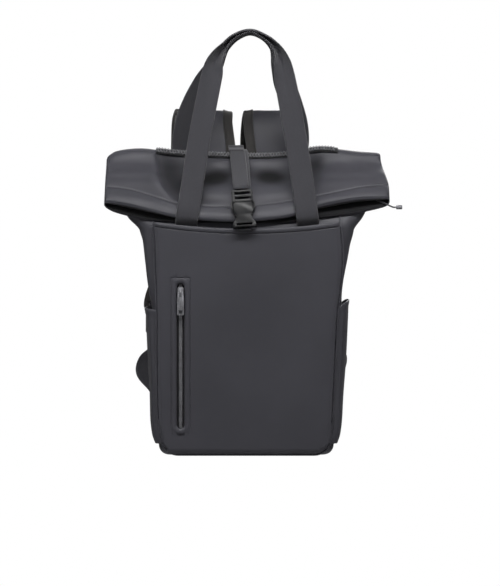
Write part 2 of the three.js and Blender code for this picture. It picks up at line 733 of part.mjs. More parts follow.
function sidePocket(name, side, lipRise) {
  // A sheet that follows the gusset from the front seam to the back seam and stands away
  // from it towards its lip.
  const columns = 12;
  const rows = 8;
  const rings = [];
  for (let j = 0; j <= rows; j += 1) {
    const rise = j / rows;
    const outer = [];
    const inner = [];
    for (let i = 0; i <= columns; i += 1) {
      const share = i / columns;
      const lip = pocketLip + lipRise * Math.sin(Math.PI * share) ** 0.7;
      const z = pocketFoot + (lip - pocketFoot) * rise;
      const size = bodySize(z);
      const wall = side < 0 ? size.left : size.right;
      const angle = THREE.MathUtils.lerp(-0.3, 0.26, share) * Math.PI;
      const long = bodyDepth / 2 - size.corner;
      const x = wall - size.corner + size.corner * Math.cos(angle);
      const y = THREE.MathUtils.lerp(-long, long, THREE.MathUtils.smoothstep(share, 0.25, 0.75))
        + size.corner * Math.sin(angle);
      const arch = Math.sin(Math.PI * share);
      const stand = seat + pocketEase * (1 + arch) + pocketStand * arch ** 1.3 * rise ** 1.6;
      const across = new THREE.Vector3(side * Math.cos(angle), Math.sin(angle), 0);
      const base = new THREE.Vector3(side * x, y, z);
      inner.push(base.clone().addScaledVector(across, stand));
      outer.push(base.clone().addScaledVector(across, stand + pocketWall));
    }
    rings.push([...outer, ...inner.reverse()]);
  }
  mesh(name, loft(rings), 'coated');
}

// Straps

function ribbon(rows, steps, hint, corner = 0) {
  // A strap carried along a smooth curve through its rows. hint holds the direction that its
  // width or its thickness keeps to, and corner rounds its edges by that share.
  const route = new THREE.CatmullRomCurve3(rows.map((row) => row.at), false, 'centripetal');
  const rings = [];
  const along = [];
  const last = rows.length - 1;
  for (let k = 0; k < last; k += 1) {
    for (let i = 0; i < steps; i += 1) along.push((k + i / steps) / last);
  }
  along.push(1);
  for (const t of along) {
    const at = route.getPoint(t);
    const ahead = route.getTangent(t);
    const row = Math.min(Math.floor(t * last), last - 1);
    const part = t * last - row;
    const wide = THREE.MathUtils.lerp(rows[row].wide, rows[row + 1].wide, part) / 2;
    const deep = THREE.MathUtils.lerp(rows[row].deep, rows[row + 1].deep, part) / 2;
    const kept = hint.direction.clone().addScaledVector(ahead, -hint.direction.dot(ahead));
    kept.normalize();
    const other = new THREE.Vector3().crossVectors(ahead, kept).normalize();
    const [w, n] = hint.keeps === 'width' ? [kept, other] : [other, kept];
    const cut = corner * Math.min(wide, deep);
    const outline = corner > 0
      ? [[-wide, -deep + cut], [-wide + cut, -deep], [wide - cut, -deep], [wide, -deep + cut],
        [wide, deep - cut], [wide - cut, deep], [-wide + cut, deep], [-wide, deep - cut]]
      : [[-wide, -deep], [wide, -deep], [wide, deep], [-wide, deep]];
    rings.push(outline.map(([a, b]) => at.clone().addScaledVector(w, a).addScaledVector(n, b)));
  }
  return loft(rings);
}

function handleRows(rows, spread, seamHeight, seamY, topY) {
  return rows.map((row) => ({
    at: new THREE.Vector3(
      row.out * spread,
      THREE.MathUtils.lerp(topY, seamY, row.reach),
      seamHeight + row.up * (handleTop - seamHeight),
    ),
    wide: THREE.MathUtils.lerp(foldedThick, webWidth, row.flat),
    deep: THREE.MathUtils.lerp(webWidth / 2, webThick, row.flat),
  }));
}

const alongDepth = { keeps: 'depth', direction: new THREE.Vector3(0, 1, 0) };
const alongWidth = { keeps: 'width', direction: new THREE.Vector3(1, 0, 0) };
const rearTopY = webWidth / 2 + seat;

function handles() {
  const frontY = -bodyDepth / 2 - seat - webThick / 2;
  mesh('front_handle', ribbon(handleRows(frontHandleRows, frontSpread, panelTop, frontY, 0),
    2, alongDepth), 'webbing');
  const rearY = bodySize(legFoot).back + seat + webThick / 2;
  mesh('rear_handle', ribbon(handleRows(rearHandleRows, rearSpread, backTop, rearY, rearTopY),
    2, alongDepth), 'webbing');
}

const legFoot = backTop - 9;

function backFace(z) {
  // The depth of the back panel's inner face, which leaves room for the rear handle's legs.
  return bodySize(Math.min(z, legFoot)).back + 2 * seat + webThick;
}

function backPanel() {
  const columns = 12;
  const rows = 12;
  const corner = 24;
  const rings = [];
  for (let j = 0; j <= rows; j += 1) {
    const outer = [];
    const inner = [];
    for (let i = 0; i <= columns; i += 1) {
      const share = (2 * i) / columns - 1;
      const rise = j / rows;
      const flank = THREE.MathUtils.lerp(backNarrow, 1, THREE.MathUtils.smoothstep(rise, 0.15, 0.4));
      const x = share * backHalfWidth * flank;
      const edge = Math.max(Math.abs(share) * backHalfWidth - (backHalfWidth - corner), 0);
      const cut = corner - Math.sqrt(Math.max(corner ** 2 - edge ** 2, 0));
      const z = backFoot + cut + (backTop - backFoot - 2 * cut) * rise;
      const rim = Math.max(THREE.MathUtils.smoothstep(Math.abs(share), 0.8, 1),
        1 - THREE.MathUtils.smoothstep(rise, 0, 0.08));
      const y = backFace(z);
      inner.push(new THREE.Vector3(x, y, z));
      outer.push(new THREE.Vector3(x, y + backPad * (1 - 0.6 * rim), z));
    }
    rings.push([...outer, ...inner.reverse()]);
  }
  mesh('back_panel', loft(rings), 'padding');
}

function strapPoint(side, row) {
  const rootY = backFace(strapRoot) + backPad + seat + strapThick / 2;
  return new THREE.Vector3(
    side * row.out * strapSpread - strapSway * row.sway,
    rootY + strapReach * row.aft,
    strapRoot + row.up * (strapTop - strapRoot),
  );
}

function shoulderStrap(name, side) {
  const rows = strapRows.map((row) => ({
    at: strapPoint(side, row),
    wide: strapWidth * row.wide,
    deep: strapThick * row.thick,
  }));
  mesh(name, ribbon(rows, 2, alongWidth, 0.6), 'padding');
}

function ladderLock(width, height, thick, slots) {
  // A moulded frame with one window for each entry of slots: its centre and its height.
  const frame = rounded(width, height, lockCorner);
  for (const slot of slots) {
    const hole = rounded(width - 2 * lockRim, slot.high, lockRound, THREE.Path);
    const moved = new THREE.Path(hole.getPoints(3).map(
      (p) => new THREE.Vector2(p.x, p.y + slot.at),
    ));
    frame.holes.push(moved);
  }
  return plate(frame, thick);
}

function strapEnd(side, name) {
  // The adjuster hangs under the padded strap's end, and the webbing runs from it to the
  // bag's lower corner, where it is sewn in under the back panel's edge.
  const end = strapPoint(side, strapRows[strapRows.length - 1]);
  const drop = adjusterHeight / 2 + hangGap;
  const centre = new THREE.Vector3(end.x, end.y, end.z - drop);
  const frame = ladderLock(adjusterWidth, adjusterHeight, adjusterThick, adjusterWindows);
  const lock = mesh(`strap_adjuster_${name}`, frame, 'plastic');
  lock.position.copy(centre);
  const cornerY = bodySize(shoulderHeight * 0.16).back + seat + webThick / 2;
  const behind = centre.y + adjusterThick / 2 + 2 * seat + webThick / 2;
  const top = [0.3, -0.1, -0.6].map((share) => ({
    at: new THREE.Vector3(centre.x, behind, centre.z + share * adjusterHeight),
    wide: tailWidth,
    deep: webThick,
  }));
  const rows = tailRows[name].map((row) => ({
    at: new THREE.Vector3(
      side * row.out * bodyHalfWidth,
      THREE.MathUtils.lerp(cornerY, behind, row.aft),
      row.up * centre.z,
    ),
    wide: tailWidth,
    deep: webThick,
  }));
  mesh(`strap_webbing_${name}`, ribbon([...top, ...rows], 2, alongWidth), 'webbing');
}

// Closing strap and buckle

function buckle() {
  // Both halves are drawn flat and then leaned back together over the mouth edge. Heights
  // run from the foot of the receiving half.
  const clasp = new THREE.Group();
  const split = buckleSplit * buckleLength;
  const wide = closeWidth + 2 * buckleRim;
  const half = wide / 2;
  const waist = half - socketShape.waistIn;
  const shoulder = half - socketShape.shoulderIn;
  const mouth = half - socketShape.mouthIn;
  const {
    footHigh, footBend, waistStart, waistEnd, shoulderBend,
  } = socketShape;
  const outline = new THREE.Shape();
  outline.moveTo(-half, 0);
  outline.lineTo(half, 0);
  outline.lineTo(half, footHigh);
  outline.bezierCurveTo(half, footBend, waist, waistStart, waist, socketShape.waist);
  outline.bezierCurveTo(waist, waistEnd, shoulder, shoulderBend, shoulder, socketShape.shoulder);
  outline.lineTo(mouth, split);
  outline.lineTo(-mouth, split);
  outline.lineTo(-shoulder, socketShape.shoulder);
  outline.bezierCurveTo(-shoulder, shoulderBend, -waist, waistEnd, -waist, socketShape.waist);
  outline.bezierCurveTo(-waist, waistStart, -half, footBend, -half, footHigh);
  outline.holes.push(window(footSlot.half, footSlot.foot, footSlot.head));
  const hollow = box(cavity.wide, cavity.deep, split - cavity.from + cavity.past, 0, 0,
    (split + cavity.from + cavity.past) / 2);
  mesh('buckle_socket', geometryOf(solid(plate(outline, buckleThick)).subtract(solid(hollow))),
    'plastic', clasp);

  const latchHigh = buckleLength - split - seat;
  const frameMiddle = split + seat + latchHigh / 2;
  const frame = ladderLock(2 * shoulder, latchHigh, buckleThick * 0.7, [
    { at: latchHigh / 2 - latchSlots.upperInset, high: latchSlots.upperHigh },
    { at: -latchHigh / 2 + latchSlots.lowerInset, high: latchSlots.lowerHigh },
  ]);
  frame.translate(0, 0, frameMiddle);
  const tongue = box(cavity.wide - 2 * seat, cavity.deep - 2 * seat, split - cavity.from, 0, 0,
    split + cavity.past - (split - cavity.from) / 2);
  mesh('buckle_latch', geometryOf(solid(frame).add(solid(tongue))), 'plastic', clasp);

  const tilt = THREE.MathUtils.degToRad(buckleTilt);
  const footY = flapFace(mouthHeight, ductHalf) - 1.2 - buckleThick / 2 / Math.cos(tilt);
  clasp.position.set(buckleCentre, footY - (mouthHeight - buckleFootHeight) * Math.tan(tilt),
    buckleFootHeight);
  clasp.rotation.set(-tilt, -THREE.MathUtils.degToRad(buckleLean), 0);
  bag.add(clasp);
  clasp.updateMatrixWorld(true);
  return clasp;
}

function closingStrap(clasp) {
  // Webbing from the neck's back over the zip on the fold, and taut down to the latch.
  const bar = clasp.localToWorld(new THREE.Vector3(0, 0, buckleLength + webThick));
  const side = closingRows[0].across * closeWidth;
  const dip = lookup(flapRows, 'across', 'dip', side / flapHalfWidth);
  const centre = foldHeight - dip * flapDrop - foldOuter;
  const centreY = foldLine - bendRadius;
  const over = foldOuter + 3 * seat + zipTape + zipTooth + webThick;
  const folded = closingRows.map((row) => new THREE.Vector3(
    row.across * closeWidth,
    centreY + over * Math.cos(THREE.MathUtils.degToRad(row.degrees)),
    centre + over * Math.sin(THREE.MathUtils.degToRad(row.degrees)),
  ));
  const startZ = rimHeight - strapStartDrop;
  const startY = bodySize(startZ).back + strapStartGap;
  const start = new THREE.Vector3(side, startY, startZ);
  const points = [start, ...folded, bar];
  const rows = points.map((at) => ({ at, wide: closeWidth, deep: webThick }));
  mesh('closing_strap', ribbon(rows, 3, alongWidth), 'webbing');
}

function buckleAnchor(clasp) {
  // Short webbing from behind the front panel's top edge to the socket's lower bar.
  const thick = webThick * 0.8;
  const bar = clasp.localToWorld(new THREE.Vector3(0, 0, -4 * seat - thick));
  const y = -bodyDepth / 2 - seat - webThick / 2;
  const edge = panelTop - panelDip;
  const lip = -bodyDepth / 2 - panelStand;
  const points = anchorRows.map((row) => new THREE.Vector3(
    bar.x,
    THREE.MathUtils.lerp(y, lip, row.over) - row.ahead,
    edge + row.up,
  ));
  const rows = [...points, bar].map((at) => ({ at, wide: anchorWidth, deep: thick }));
  mesh('buckle_anchor', ribbon(rows, 2, alongWidth), 'webbing');
}

// Mouth pull

// The mouth pull's cord: out is the distance past the flap's right end, up a share of the
// flap's drop over the mouth's lowest edge, and forward the distance from the tube's middle.
const pullRows = [
  { out: -18, up: 0.287, forward: -2.0 },
  { out: -8, up: 0.25, forward: -1.0 },
  { out: 0, up: 0.213, forward: 1.5 },
  { out: 5, up: 0.194, forward: 3.5 },
];
const pullTip = { out: 13, up: 0.194, forward: 4, wide: 8.8, high: 6, thick: 2, round: 1.2 };
const pullCord = 2.2;

function mouthPull() {
  // A cord loop from the mouth's right end, with a flat metal tip.
  const at = (row) => {
    const z = mouthHeight + row.up * flapDrop;
    return new THREE.Vector3(flapHalfWidth + row.out, flapFace(z, 0) - row.forward, z);
  };
  const tip = at(pullTip);
  const end = tip.clone().setX(tip.x - pullTip.wide / 2 - seat);
  const path = new THREE.CatmullRomCurve3([...pullRows.map(at), end]);
  const round = new THREE.Shape().absarc(0, 0, pullCord / 2, 0, fullTurn);
  const cord = new THREE.ExtrudeGeometry(round, {
    steps: 10, curveSegments: 3, extrudePath: path,
  });
  mesh('mouth_pull_loop', cord, 'webbing');
  const outline = rounded(pullTip.wide, pullTip.high, pullTip.round);
  const plateTip = mesh('mouth_pull_tip', plate(outline, pullTip.thick), 'gunmetal');
  plateTip.position.copy(tip);
}

bagBody();
rollTop();
topZip();
frontPocket();
pocketZip();
zipPull();
sidePocket('side_pocket_left', -1, leftLipRise);
sidePocket('side_pocket_right', 1, rightLipRise);
handles();
backPanel();
shoulderStrap('shoulder_strap_left', -1);
shoulderStrap('shoulder_strap_right', 1);
strapEnd(-1, 'left');
strapEnd(1, 'right');
const clasp = buckle();
closingStrap(clasp);
buckleAnchor(clasp);
mouthPull();

// The bag hangs where both handles pass over the same hook.
const hangPoint = new THREE.Vector3(0.05 * frontSpread, rearTopY / 2, handleTop - foldedThick / 2);
bag.position.copy(hangPoint).negate();

export default bag;
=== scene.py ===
# Dresses a hanging roll-top backpack: coated cloth, webbing, padded straps, zips and a buckle.
# Shapes are worked out in millimetres with heights counted from the bag's base, and placed
# gives them in metres in the frame, whose origin is the point that the bag hangs from.

import json
import math

import bmesh
import bpy
import numpy as np
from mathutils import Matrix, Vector

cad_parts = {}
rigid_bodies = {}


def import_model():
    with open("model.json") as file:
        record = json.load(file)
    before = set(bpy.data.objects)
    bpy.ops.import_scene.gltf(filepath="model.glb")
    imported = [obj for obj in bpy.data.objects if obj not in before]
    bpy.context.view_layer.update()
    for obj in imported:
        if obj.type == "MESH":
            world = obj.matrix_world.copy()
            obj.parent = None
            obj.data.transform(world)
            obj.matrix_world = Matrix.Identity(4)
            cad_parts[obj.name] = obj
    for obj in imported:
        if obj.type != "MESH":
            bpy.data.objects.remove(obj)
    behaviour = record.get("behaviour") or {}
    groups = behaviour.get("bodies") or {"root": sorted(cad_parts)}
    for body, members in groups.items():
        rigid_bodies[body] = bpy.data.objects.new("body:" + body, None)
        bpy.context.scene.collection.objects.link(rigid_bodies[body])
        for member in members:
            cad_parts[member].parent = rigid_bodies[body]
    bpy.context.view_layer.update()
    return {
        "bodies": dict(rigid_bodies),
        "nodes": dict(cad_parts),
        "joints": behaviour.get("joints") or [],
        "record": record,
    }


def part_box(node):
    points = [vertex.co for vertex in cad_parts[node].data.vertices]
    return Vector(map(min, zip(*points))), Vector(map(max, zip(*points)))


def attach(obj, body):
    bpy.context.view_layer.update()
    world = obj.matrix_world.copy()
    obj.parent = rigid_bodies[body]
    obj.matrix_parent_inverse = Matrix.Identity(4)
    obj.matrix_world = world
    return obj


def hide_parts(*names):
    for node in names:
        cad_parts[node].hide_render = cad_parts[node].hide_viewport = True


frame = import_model()

bl_info = {
    "name": "Roll-top backpack",
    "version": (1, 0, 0),
    "blender": (4, 5, 0),
    "location": "View3D > Sidebar > Backpack",
    "description": "Cloth, webbing, zips and fittings of a hanging roll-top backpack",
    "category": "Add Mesh",
}

BAG = "bag"
TAB = "pull_tab"
MM = 0.001


def middle(node, axis):
    """Where the middle of a node's box lies along an axis, in metres."""
    low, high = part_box(node)
    return (low[axis] + high[axis]) / 2


# The base's middle as seen from the hanging point, in millimetres
BASE = np.array([middle("top_zip", 0), middle("bag_body", 1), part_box("bag_body")[0][2]]) / MM

# Cloth, webbing and clearances
CLOTH = 1.6
PANEL_WALL = 1.8
POCKET_WALL = 1.5
WEB = 1.8
SEAT = 0.35

# Main bag
BODY_HALF = 142
BODY_DEPTH = 140
BODY_CORNER = 22
BASE_ROUND = 14
SHOULDER = 322
RIM = 414

# Folded top
FLAP_HALF = 204
FOLD = 441
MOUTH = 333
DUCT_HALF = CLOTH + 2.5
FOLD_RADIUS = 3 + DUCT_HALF
FOLD_OUTER = 3 + 2 * DUCT_HALF
FOLD_LINE = 21
FLAP_CLEAR = 2.2
MOUTH_GAPE = 6
RIGHT_TUCK = 0.95
FLAP_DROP = FOLD - MOUTH
RISER = 0.06
BEND = 0.3
BEND_ANGLE = 0.75 * math.pi

# Front pocket and its zip
PANEL_HALF = 131
PANEL_TOP = 332
PANEL_STAND = 3.0
PANEL_ROUND = 22
PANEL_FOOT = 3
PANEL_DIP = 10
PANEL_LEAN = 0.4
EDGE_SEAT = 0.8
SLIT_WIDTH = 13
SLIT_HEIGHT = 209
SLIT_FOOT = 37.5
SLIT_MIDDLE = -94.5

# Side pockets
POCKET_LIP = 207
POCKET_STAND = 6.0
POCKET_FOOT = 17

# Handles
WEB_WIDTH = 34
HANDLE_TOP = 609
FRONT_SPREAD = 87
REAR_SPREAD = 94

# Shoulder straps and their webbing
STRAP_WIDTH = 80
STRAP_THICK = 11
STRAP_ROOT = 368
STRAP_TOP = 496
STRAP_SPREAD = 51
STRAP_REACH = 60
STRAP_SWAY = 13.5
TAIL_WIDTH = 25
LOCK_HEIGHT = 33
LOCK_THICK = 5
LOCK_WINDOW = 7.5
HANG_GAP = 2.4

# Back panel
BACK_HALF = 122
BACK_FOOT = 20
BACK_TOP = 388
BACK_PAD = 6
BACK_NARROW = 0.78
LEG_FOOT = BACK_TOP - 9

# Closing strap and buckle
CLOSE_WIDTH = 25
BUCKLE_LONG = 56
BUCKLE_THICK = 9
BUCKLE_TILT = math.radians(20)
BUCKLE_LEAN = math.radians(4.5)
BUCKLE_FOOT = 325
BUCKLE_MIDDLE = -3

# Top zip: angles over the fold in degrees, a tooth's lean as a share of the pitch
ZIP_TAPE = 1.0
ZIP_TOOTH = 3.2
ZIP_REACH = 132
ZIP_SEAT = SEAT + 0.55
ZIP_FROM, ZIP_TO = 20, 156
TEETH_FROM, TEETH_TO = 103, 150
TOOTH_STAND = 1.5
TOOTH_LEAN = 0.42


# Tables


def cubic(t, start, leaving, end, arriving):
    """A cubic from start to end that leaves and arrives with the given slopes."""
    return (
        (2 * t**3 - 3 * t**2 + 1) * start
        + (t**3 - 2 * t**2 + t) * leaving
        + (3 * t**2 - 2 * t**3) * end
        + (t**3 - t**2) * arriving
    )


def table(columns, *rows):
    """A short table with named columns, as one array for each column. The first is its key."""
    return dict(zip(columns.split(), np.array(rows, float).T))


def read(rows, column, at):
    """A smooth curve through a table: cubic between its rows, each row's slope from its
    neighbours, read at any array of the key and held beyond the ends."""
    key = next(iter(rows.values()))
    value = rows[column]
    slope = np.empty_like(value)
    slope[1:-1] = (value[2:] - value[:-2]) / (key[2:] - key[:-2])
    slope[0] = (value[1] - value[0]) / (key[1] - key[0])
    slope[-1] = (value[-1] - value[-2]) / (key[-1] - key[-2])
    at = np.clip(at, key[0], key[-1])
    i = np.clip(np.searchsorted(key, at, side="right") - 1, 0, len(key) - 2)
    span = key[i + 1] - key[i]
    t = (at - key[i]) / span
    return cubic(t, value[i], span * slope[i], value[i + 1], span * slope[i + 1])


# up is 0 at the base, 1 at the shoulder and 2 at the neck's rim. left and right are shares of
# the body's half width, flare the share of the way to the flap's width, front and back the
# share of the way from the body's faces to the rim, and round the corner as a share.
BODY = table(
    "up left right flare front back round",
    (0.04, 0.887, 0.873, 0, 0, 0, 1),
    (0.09, 0.922, 0.905, 0, 0, 0, 1),
    (0.22, 0.937, 0.923, 0, 0, 0, 1),
    (0.42, 0.944, 0.944, 0, 0, 0, 1),
    (0.64, 0.955, 0.955, 0, 0, 0, 1),
    (0.74, 0.99, 0.958, 0, 0, 0, 1),
    (0.86, 1.02, 1.0, 0, 0, 0, 1),
    (1.0, 1.05, 1.05, 0.05, 0, 0, 1),
    (1.14, 1, 1, 0.39, 0.055, 0, 1.1),
    (1.25, 1, 1, 0.52, 0.12, 0, 1.1),
    (1.41, 1, 1, 0.65, 0.23, 0, 1),
    (1.57, 1, 1, 0.76, 0.38, 0.02, 0.9),
    (1.7, 1, 1, 0.84, 0.52, 0.06, 0.8),
    (1.79, 1, 1, 0.89, 0.64, 0.2, 0.7),
    (1.87, 1, 1, 0.93, 0.76, 0.5, 0.6),
    (1.95, 1, 1, 0.98, 0.91, 0.82, 0.4),
    (2.0, 1, 1, 1, 1, 1, 0.4),
)

# dip is how far the fold lies under its highest point, outer and lower the heights of the two
# mouth edges over the lowest one, as shares of the flap's drop, and gape how far the mouth
# stands open. across runs from -1 to 1.
FLAP = table(
    "across dip outer lower gape",
    (-1.0, 0.12, 0.26, 0.2, 0.1),
    (-0.93, 0.04, 0.25, 0.13, 0.5),
    (-0.77, 0.0, 0.19, 0.05, 1.0),
    (-0.64, 0.02, 0.13, 0.01, 0.8),
    (-0.5, 0.05, 0.065, -0.005, 0.1),
    (-0.29, 0.075, 0.02, -0.01, 0.1),
    (-0.05, 0.09, 0.0, -0.015, 0),
    (0.15, 0.09, 0.03, -0.015, 0.15),
    (0.3, 0.065, 0.075, -0.01, 0.2),
    (0.5, 0.0, 0.2, 0.04, 0.6),
    (0.64, 0.01, 0.26, 0.075, 1.0),
    (0.79, 0.04, 0.305, 0.12, 1.0),
    (0.95, 0.065, 0.315, 0.19, 0.5),
    (1.0, 0.1, 0.315, 0.23, 0.1),
)

# The front pocket's two edges as shares of its half width, against its height.
PANEL = table(
    "up left right",
    (0.0, 0.915, 0.9),
    (0.1, 0.955, 0.918),
    (0.36, 0.968, 0.947),
    (0.6, 0.97, 0.977),
    (0.7, 0.978, 1.008),
    (0.85, 0.99, 1.03),
    (1.0, 1.008, 1.0),
)

# The handles' routes. out is a share of the legs' spread, up of the rise from the seam to the
# top, reach of the way from the top's place to the seam's in depth, and flat is 1 where the
# webbing lies flat and 0 where it is folded in half lengthwise.
FRONT_HANDLE = table(
    "out up reach flat",
    (-0.995, -0.05, 1.0, 1),
    (-0.992, -0.014, 1.0, 1),
    (-0.985, 0.02, 1.1, 1),
    (-0.96, 0.06, 1.1, 1),
    (-0.914, 0.155, 0.975, 1),
    (-0.784, 0.433, 0.64, 1),
    (-0.68, 0.61, 0.443, 0.98),
    (-0.58, 0.769, 0.263, 0.85),
    (-0.53, 0.841, 0.18, 0.5),
    (-0.37, 0.924, 0.087, 0.12),
    (-0.195, 0.975, 0.03, 0.04),
    (0.05, 1.0, 0.0, 0),
    (0.25, 0.978, 0.03, 0.04),
    (0.46, 0.928, 0.085, 0.12),
    (0.58, 0.845, 0.18, 0.45),
    (0.62, 0.762, 0.27, 0.8),
    (0.695, 0.635, 0.415, 0.95),
    (0.808, 0.422, 0.655, 1),
    (0.88, 0.278, 0.825, 1),
    (0.975, 0.06, 1.1, 1),
    (0.993, 0.02, 1.1, 1),
    (1.0, -0.014, 1.0, 1),
    (1.0, -0.05, 1.0, 1),
)
REAR_HANDLE = table(
    "out up reach flat",
    (-1.01, -0.04, 1.0, 1),
    (-1.01, 0.02, 1.0, 1),
    (-1.005, 0.212, 0.97, 1),
    (-0.995, 0.32, 0.88, 1),
    (-0.936, 0.443, 0.74, 1),
    (-0.82, 0.56, 0.58, 0.97),
    (-0.66, 0.68, 0.4, 0.85),
    (-0.48, 0.797, 0.22, 0.5),
    (-0.32, 0.906, 0.09, 0.12),
    (-0.15, 0.97, 0.02, 0.04),
    (0.05, 1.0, 0.0, 0),
    (0.25, 0.97, 0.02, 0.04),
    (0.4, 0.906, 0.09, 0.12),
    (0.49, 0.797, 0.22, 0.5),
    (0.575, 0.68, 0.4, 0.85),
    (0.7, 0.53, 0.6, 0.97),
    (0.777, 0.415, 0.76, 1),
    (0.803, 0.32, 0.88, 1),
    (0.793, 0.226, 0.97, 1),
    (0.8, 0.02, 1.0, 1),
    (0.8, -0.04, 1.0, 1),
)

# A padded strap from its root over its top and down. out is a share of the straps' spread, up
# of the rise from the root to the top, aft of the reach, wide and thick of its width and
# thickness, and sway of the sideways lean.
STRAP = table(
    "out up aft wide thick sway",
    (1.0, 0.0, 0.0, 0.92, 0.8, 0.1),
    (1.0, 0.27, 0.03, 0.95, 1, 0.3),
    (1.0, 0.62, 0.13, 1.0, 1, 0.7),
    (1.0, 0.88, 0.31, 1.0, 1, 1),
    (1.0, 1.0, 0.53, 1.0, 1, 1),
    (1.02, 0.9, 0.77, 1.0, 1, 1.3),
    (1.02, 0.59, 0.95, 0.98, 1, 1.5),
    (1.12, 0.1, 0.98, 0.95, 1, 1.35),
    (1.42, -0.42, 0.88, 0.88, 1, 0.8),
    (1.88, -0.82, 0.74, 0.76, 0.95, 0.45),
    (2.28, -1.07, 0.65, 0.6, 0.8, 0.5),
    (2.47, -1.2, 0.6, 0.48, 0.6, 0.5),
    (2.5, -1.28, 0.585, 0.44, 0.5, 0.5),
)

# The lower webbing from the adjuster to the bag's corner: out is a share of the body's half
# width, up of the adjuster's height and aft of the way from the corner to the adjuster.
TAIL = {
    "left": table(
        "out up aft",
        (0.95, 0.77, 0.87),
        (1.06, 0.69, 0.75),
        (1.08, 0.6, 0.57),
        (0.95, 0.48, 0.34),
        (0.87, 0.36, 0.1),
        (0.84, 0.26, 0.02),
        (0.82, 0.16, 0.0),
    ),
    "right": table(
        "out up aft",
        (0.91, 0.79, 0.88),
        (0.965, 0.72, 0.78),
        (0.94, 0.62, 0.6),
        (0.88, 0.5, 0.34),
        (0.85, 0.38, 0.1),
        (0.82, 0.27, 0.02),
        (0.8, 0.16, 0.0),
    ),
}


# Settings that a user would change


def size(name, words, value):
    """A length in metres."""
    return bpy.props.FloatProperty(
        name=name, description=words, default=value, min=0.0, unit="LENGTH", precision=5
    )


def tone(name, words, value):
    """A colour, as linear red, green and blue."""
    return bpy.props.FloatVectorProperty(
        name=name, description=words, default=value, min=0.0, max=1.0, size=3, subtype="COLOR"
    )


class BackpackSettings(bpy.types.PropertyGroup):
    """Sizes of the small work and colours of the finishes."""

    stitch_length: size("Stitch length", "Length of thread that shows in one stitch", 0.0024)
    stitch_pitch: size("Stitch pitch", "Distance from one stitch to the next", 0.0036)
    thread: size("Thread", "Diameter of the sewing thread", 0.0008)
    weave_pitch: size("Weave pitch", "Distance between two yarns of the webbing", 0.0011)
    rib_pitch: size("Rib pitch", "Distance between two ribs of the binding", 0.0014)
    piping: size("Piping", "Diameter of the piping round the front pocket", 0.0030)
    tooth_pitch: size("Tooth pitch", "Distance between two teeth of the top zip", 0.0043)
    coil_pitch: size("Coil pitch", "Distance between two turns of the pocket zip", 0.0016)
    camera_distance: size("Camera distance", "From the bag's middle to the camera", 4.0)
    floor_drop: size("Floor drop", "From the bag's base down to the floor", 0.6)
    camera_rise: bpy.props.FloatProperty(
        name="Camera rise",
        description="Angle of the camera above the level line",
        default=math.radians(1.0),
        subtype="ANGLE",
    )
    coated: tone("Coated cloth", "Smooth outer cloth", (0.048, 0.0475, 0.057))
    lining: tone("Inner face", "Uncoated inner face of the cloth", (0.018, 0.018, 0.021))
    webbing: tone("Webbing", "Woven handles and straps", (0.040, 0.0395, 0.046))
    binding: tone("Binding", "Ribbed tape round the padded straps", (0.036, 0.034, 0.033))
    padding: tone("Padding", "Knitted face of the padding", (0.022, 0.022, 0.024))
    plastic: tone("Plastic", "Moulded buckle and adjusters", (0.010, 0.010, 0.011))
    tape: tone("Zip tape", "Woven tape of the zips", (0.012, 0.012, 0.014))
    teeth: tone("Zip teeth", "Moulded teeth of the top zip", (0.15, 0.15, 0.16))
    metal: tone("Metal", "Brushed zip pulls", (0.43, 0.43, 0.46))
    yarn: tone("Thread colour", "Sewing thread", (0.016, 0.016, 0.018))
    floor: tone("Floor", "Pale floor under the bag", (0.86, 0.86, 0.86))


# Mesh making


def placed(points):
    """Points in millimetres from the base's middle, as metres in the frame."""
    return (np.asarray(points, float) + BASE) * MM


def smoothstep(x, low, high):
    """Nought below low, one above high and a smooth curve between them."""
    t = np.clip((x - low) / (high - low), 0, 1)
    return t * t * (3 - 2 * t)


def unit(v):
    """Vectors at length one."""
    return v / np.maximum(np.linalg.norm(v, axis=-1, keepdims=True), 1e-12)


def faces_of(rows, columns, close_rows, close_columns):
    """The four corners of each cell of a grid, which may close on itself either way."""
    r = np.arange(rows if close_rows else rows - 1)
    c = np.arange(columns if close_columns else columns - 1)
    r, c = np.meshgrid(r, c, indexing="ij")
    r1 = (r + 1) % rows
    c1 = (c + 1) % columns
    cells = [r * columns + c, r * columns + c1, r1 * columns + c1, r1 * columns + c]
    return np.stack([k.ravel() for k in cells], 1)


def shade_smooth(mesh):
    """Shades every face smooth."""
    mesh.polygons.foreach_set("use_smooth", np.ones(len(mesh.polygons), bool))


def new_piece(name, points, faces, body=BAG, uv=None, fold=None):
    """A mesh of points in millimetres and faces of four or three corners, facing outwards.
    uv gives each point its place on the cloth, in metres, and fold how deep it lies, which the
    coated cloth paints as shade."""
    mesh = bpy.data.meshes.new(name)
    mesh.from_pydata(placed(points), [], faces if isinstance(faces, list) else faces.tolist())
    if uv is not None:
        loops = np.empty(len(mesh.loops), np.int32)
        mesh.loops.foreach_get("vertex_index", loops)
        layer = mesh.uv_layers.new(name="cloth")
        layer.data.foreach_set("uv", np.asarray(uv, float)[loops].astype(np.float32).ravel())
    if fold is not None:
        layer = mesh.attributes.new("fold", "FLOAT", "POINT")
        layer.data.foreach_set("value", np.asarray(fold, np.float32).ravel())
    mesh.validate()
    obj = bpy.data.objects.new(name, mesh)
    bpy.context.collection.objects.link(obj)
    turn_outwards(mesh)
    shade_smooth(mesh)
    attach(obj, body)
    return obj


def turn_outwards(mesh):
    """Closed meshes face outwards: the sign of the volume under the faces says which way."""
    work = bmesh.new()
    work.from_mesh(mesh)
    if all(e.is_manifold for e in work.edges) and work.calc_volume(signed=True) < 0:
        bmesh.ops.reverse_faces(work, faces=work.faces)
        work.to_mesh(mesh)
    work.free()


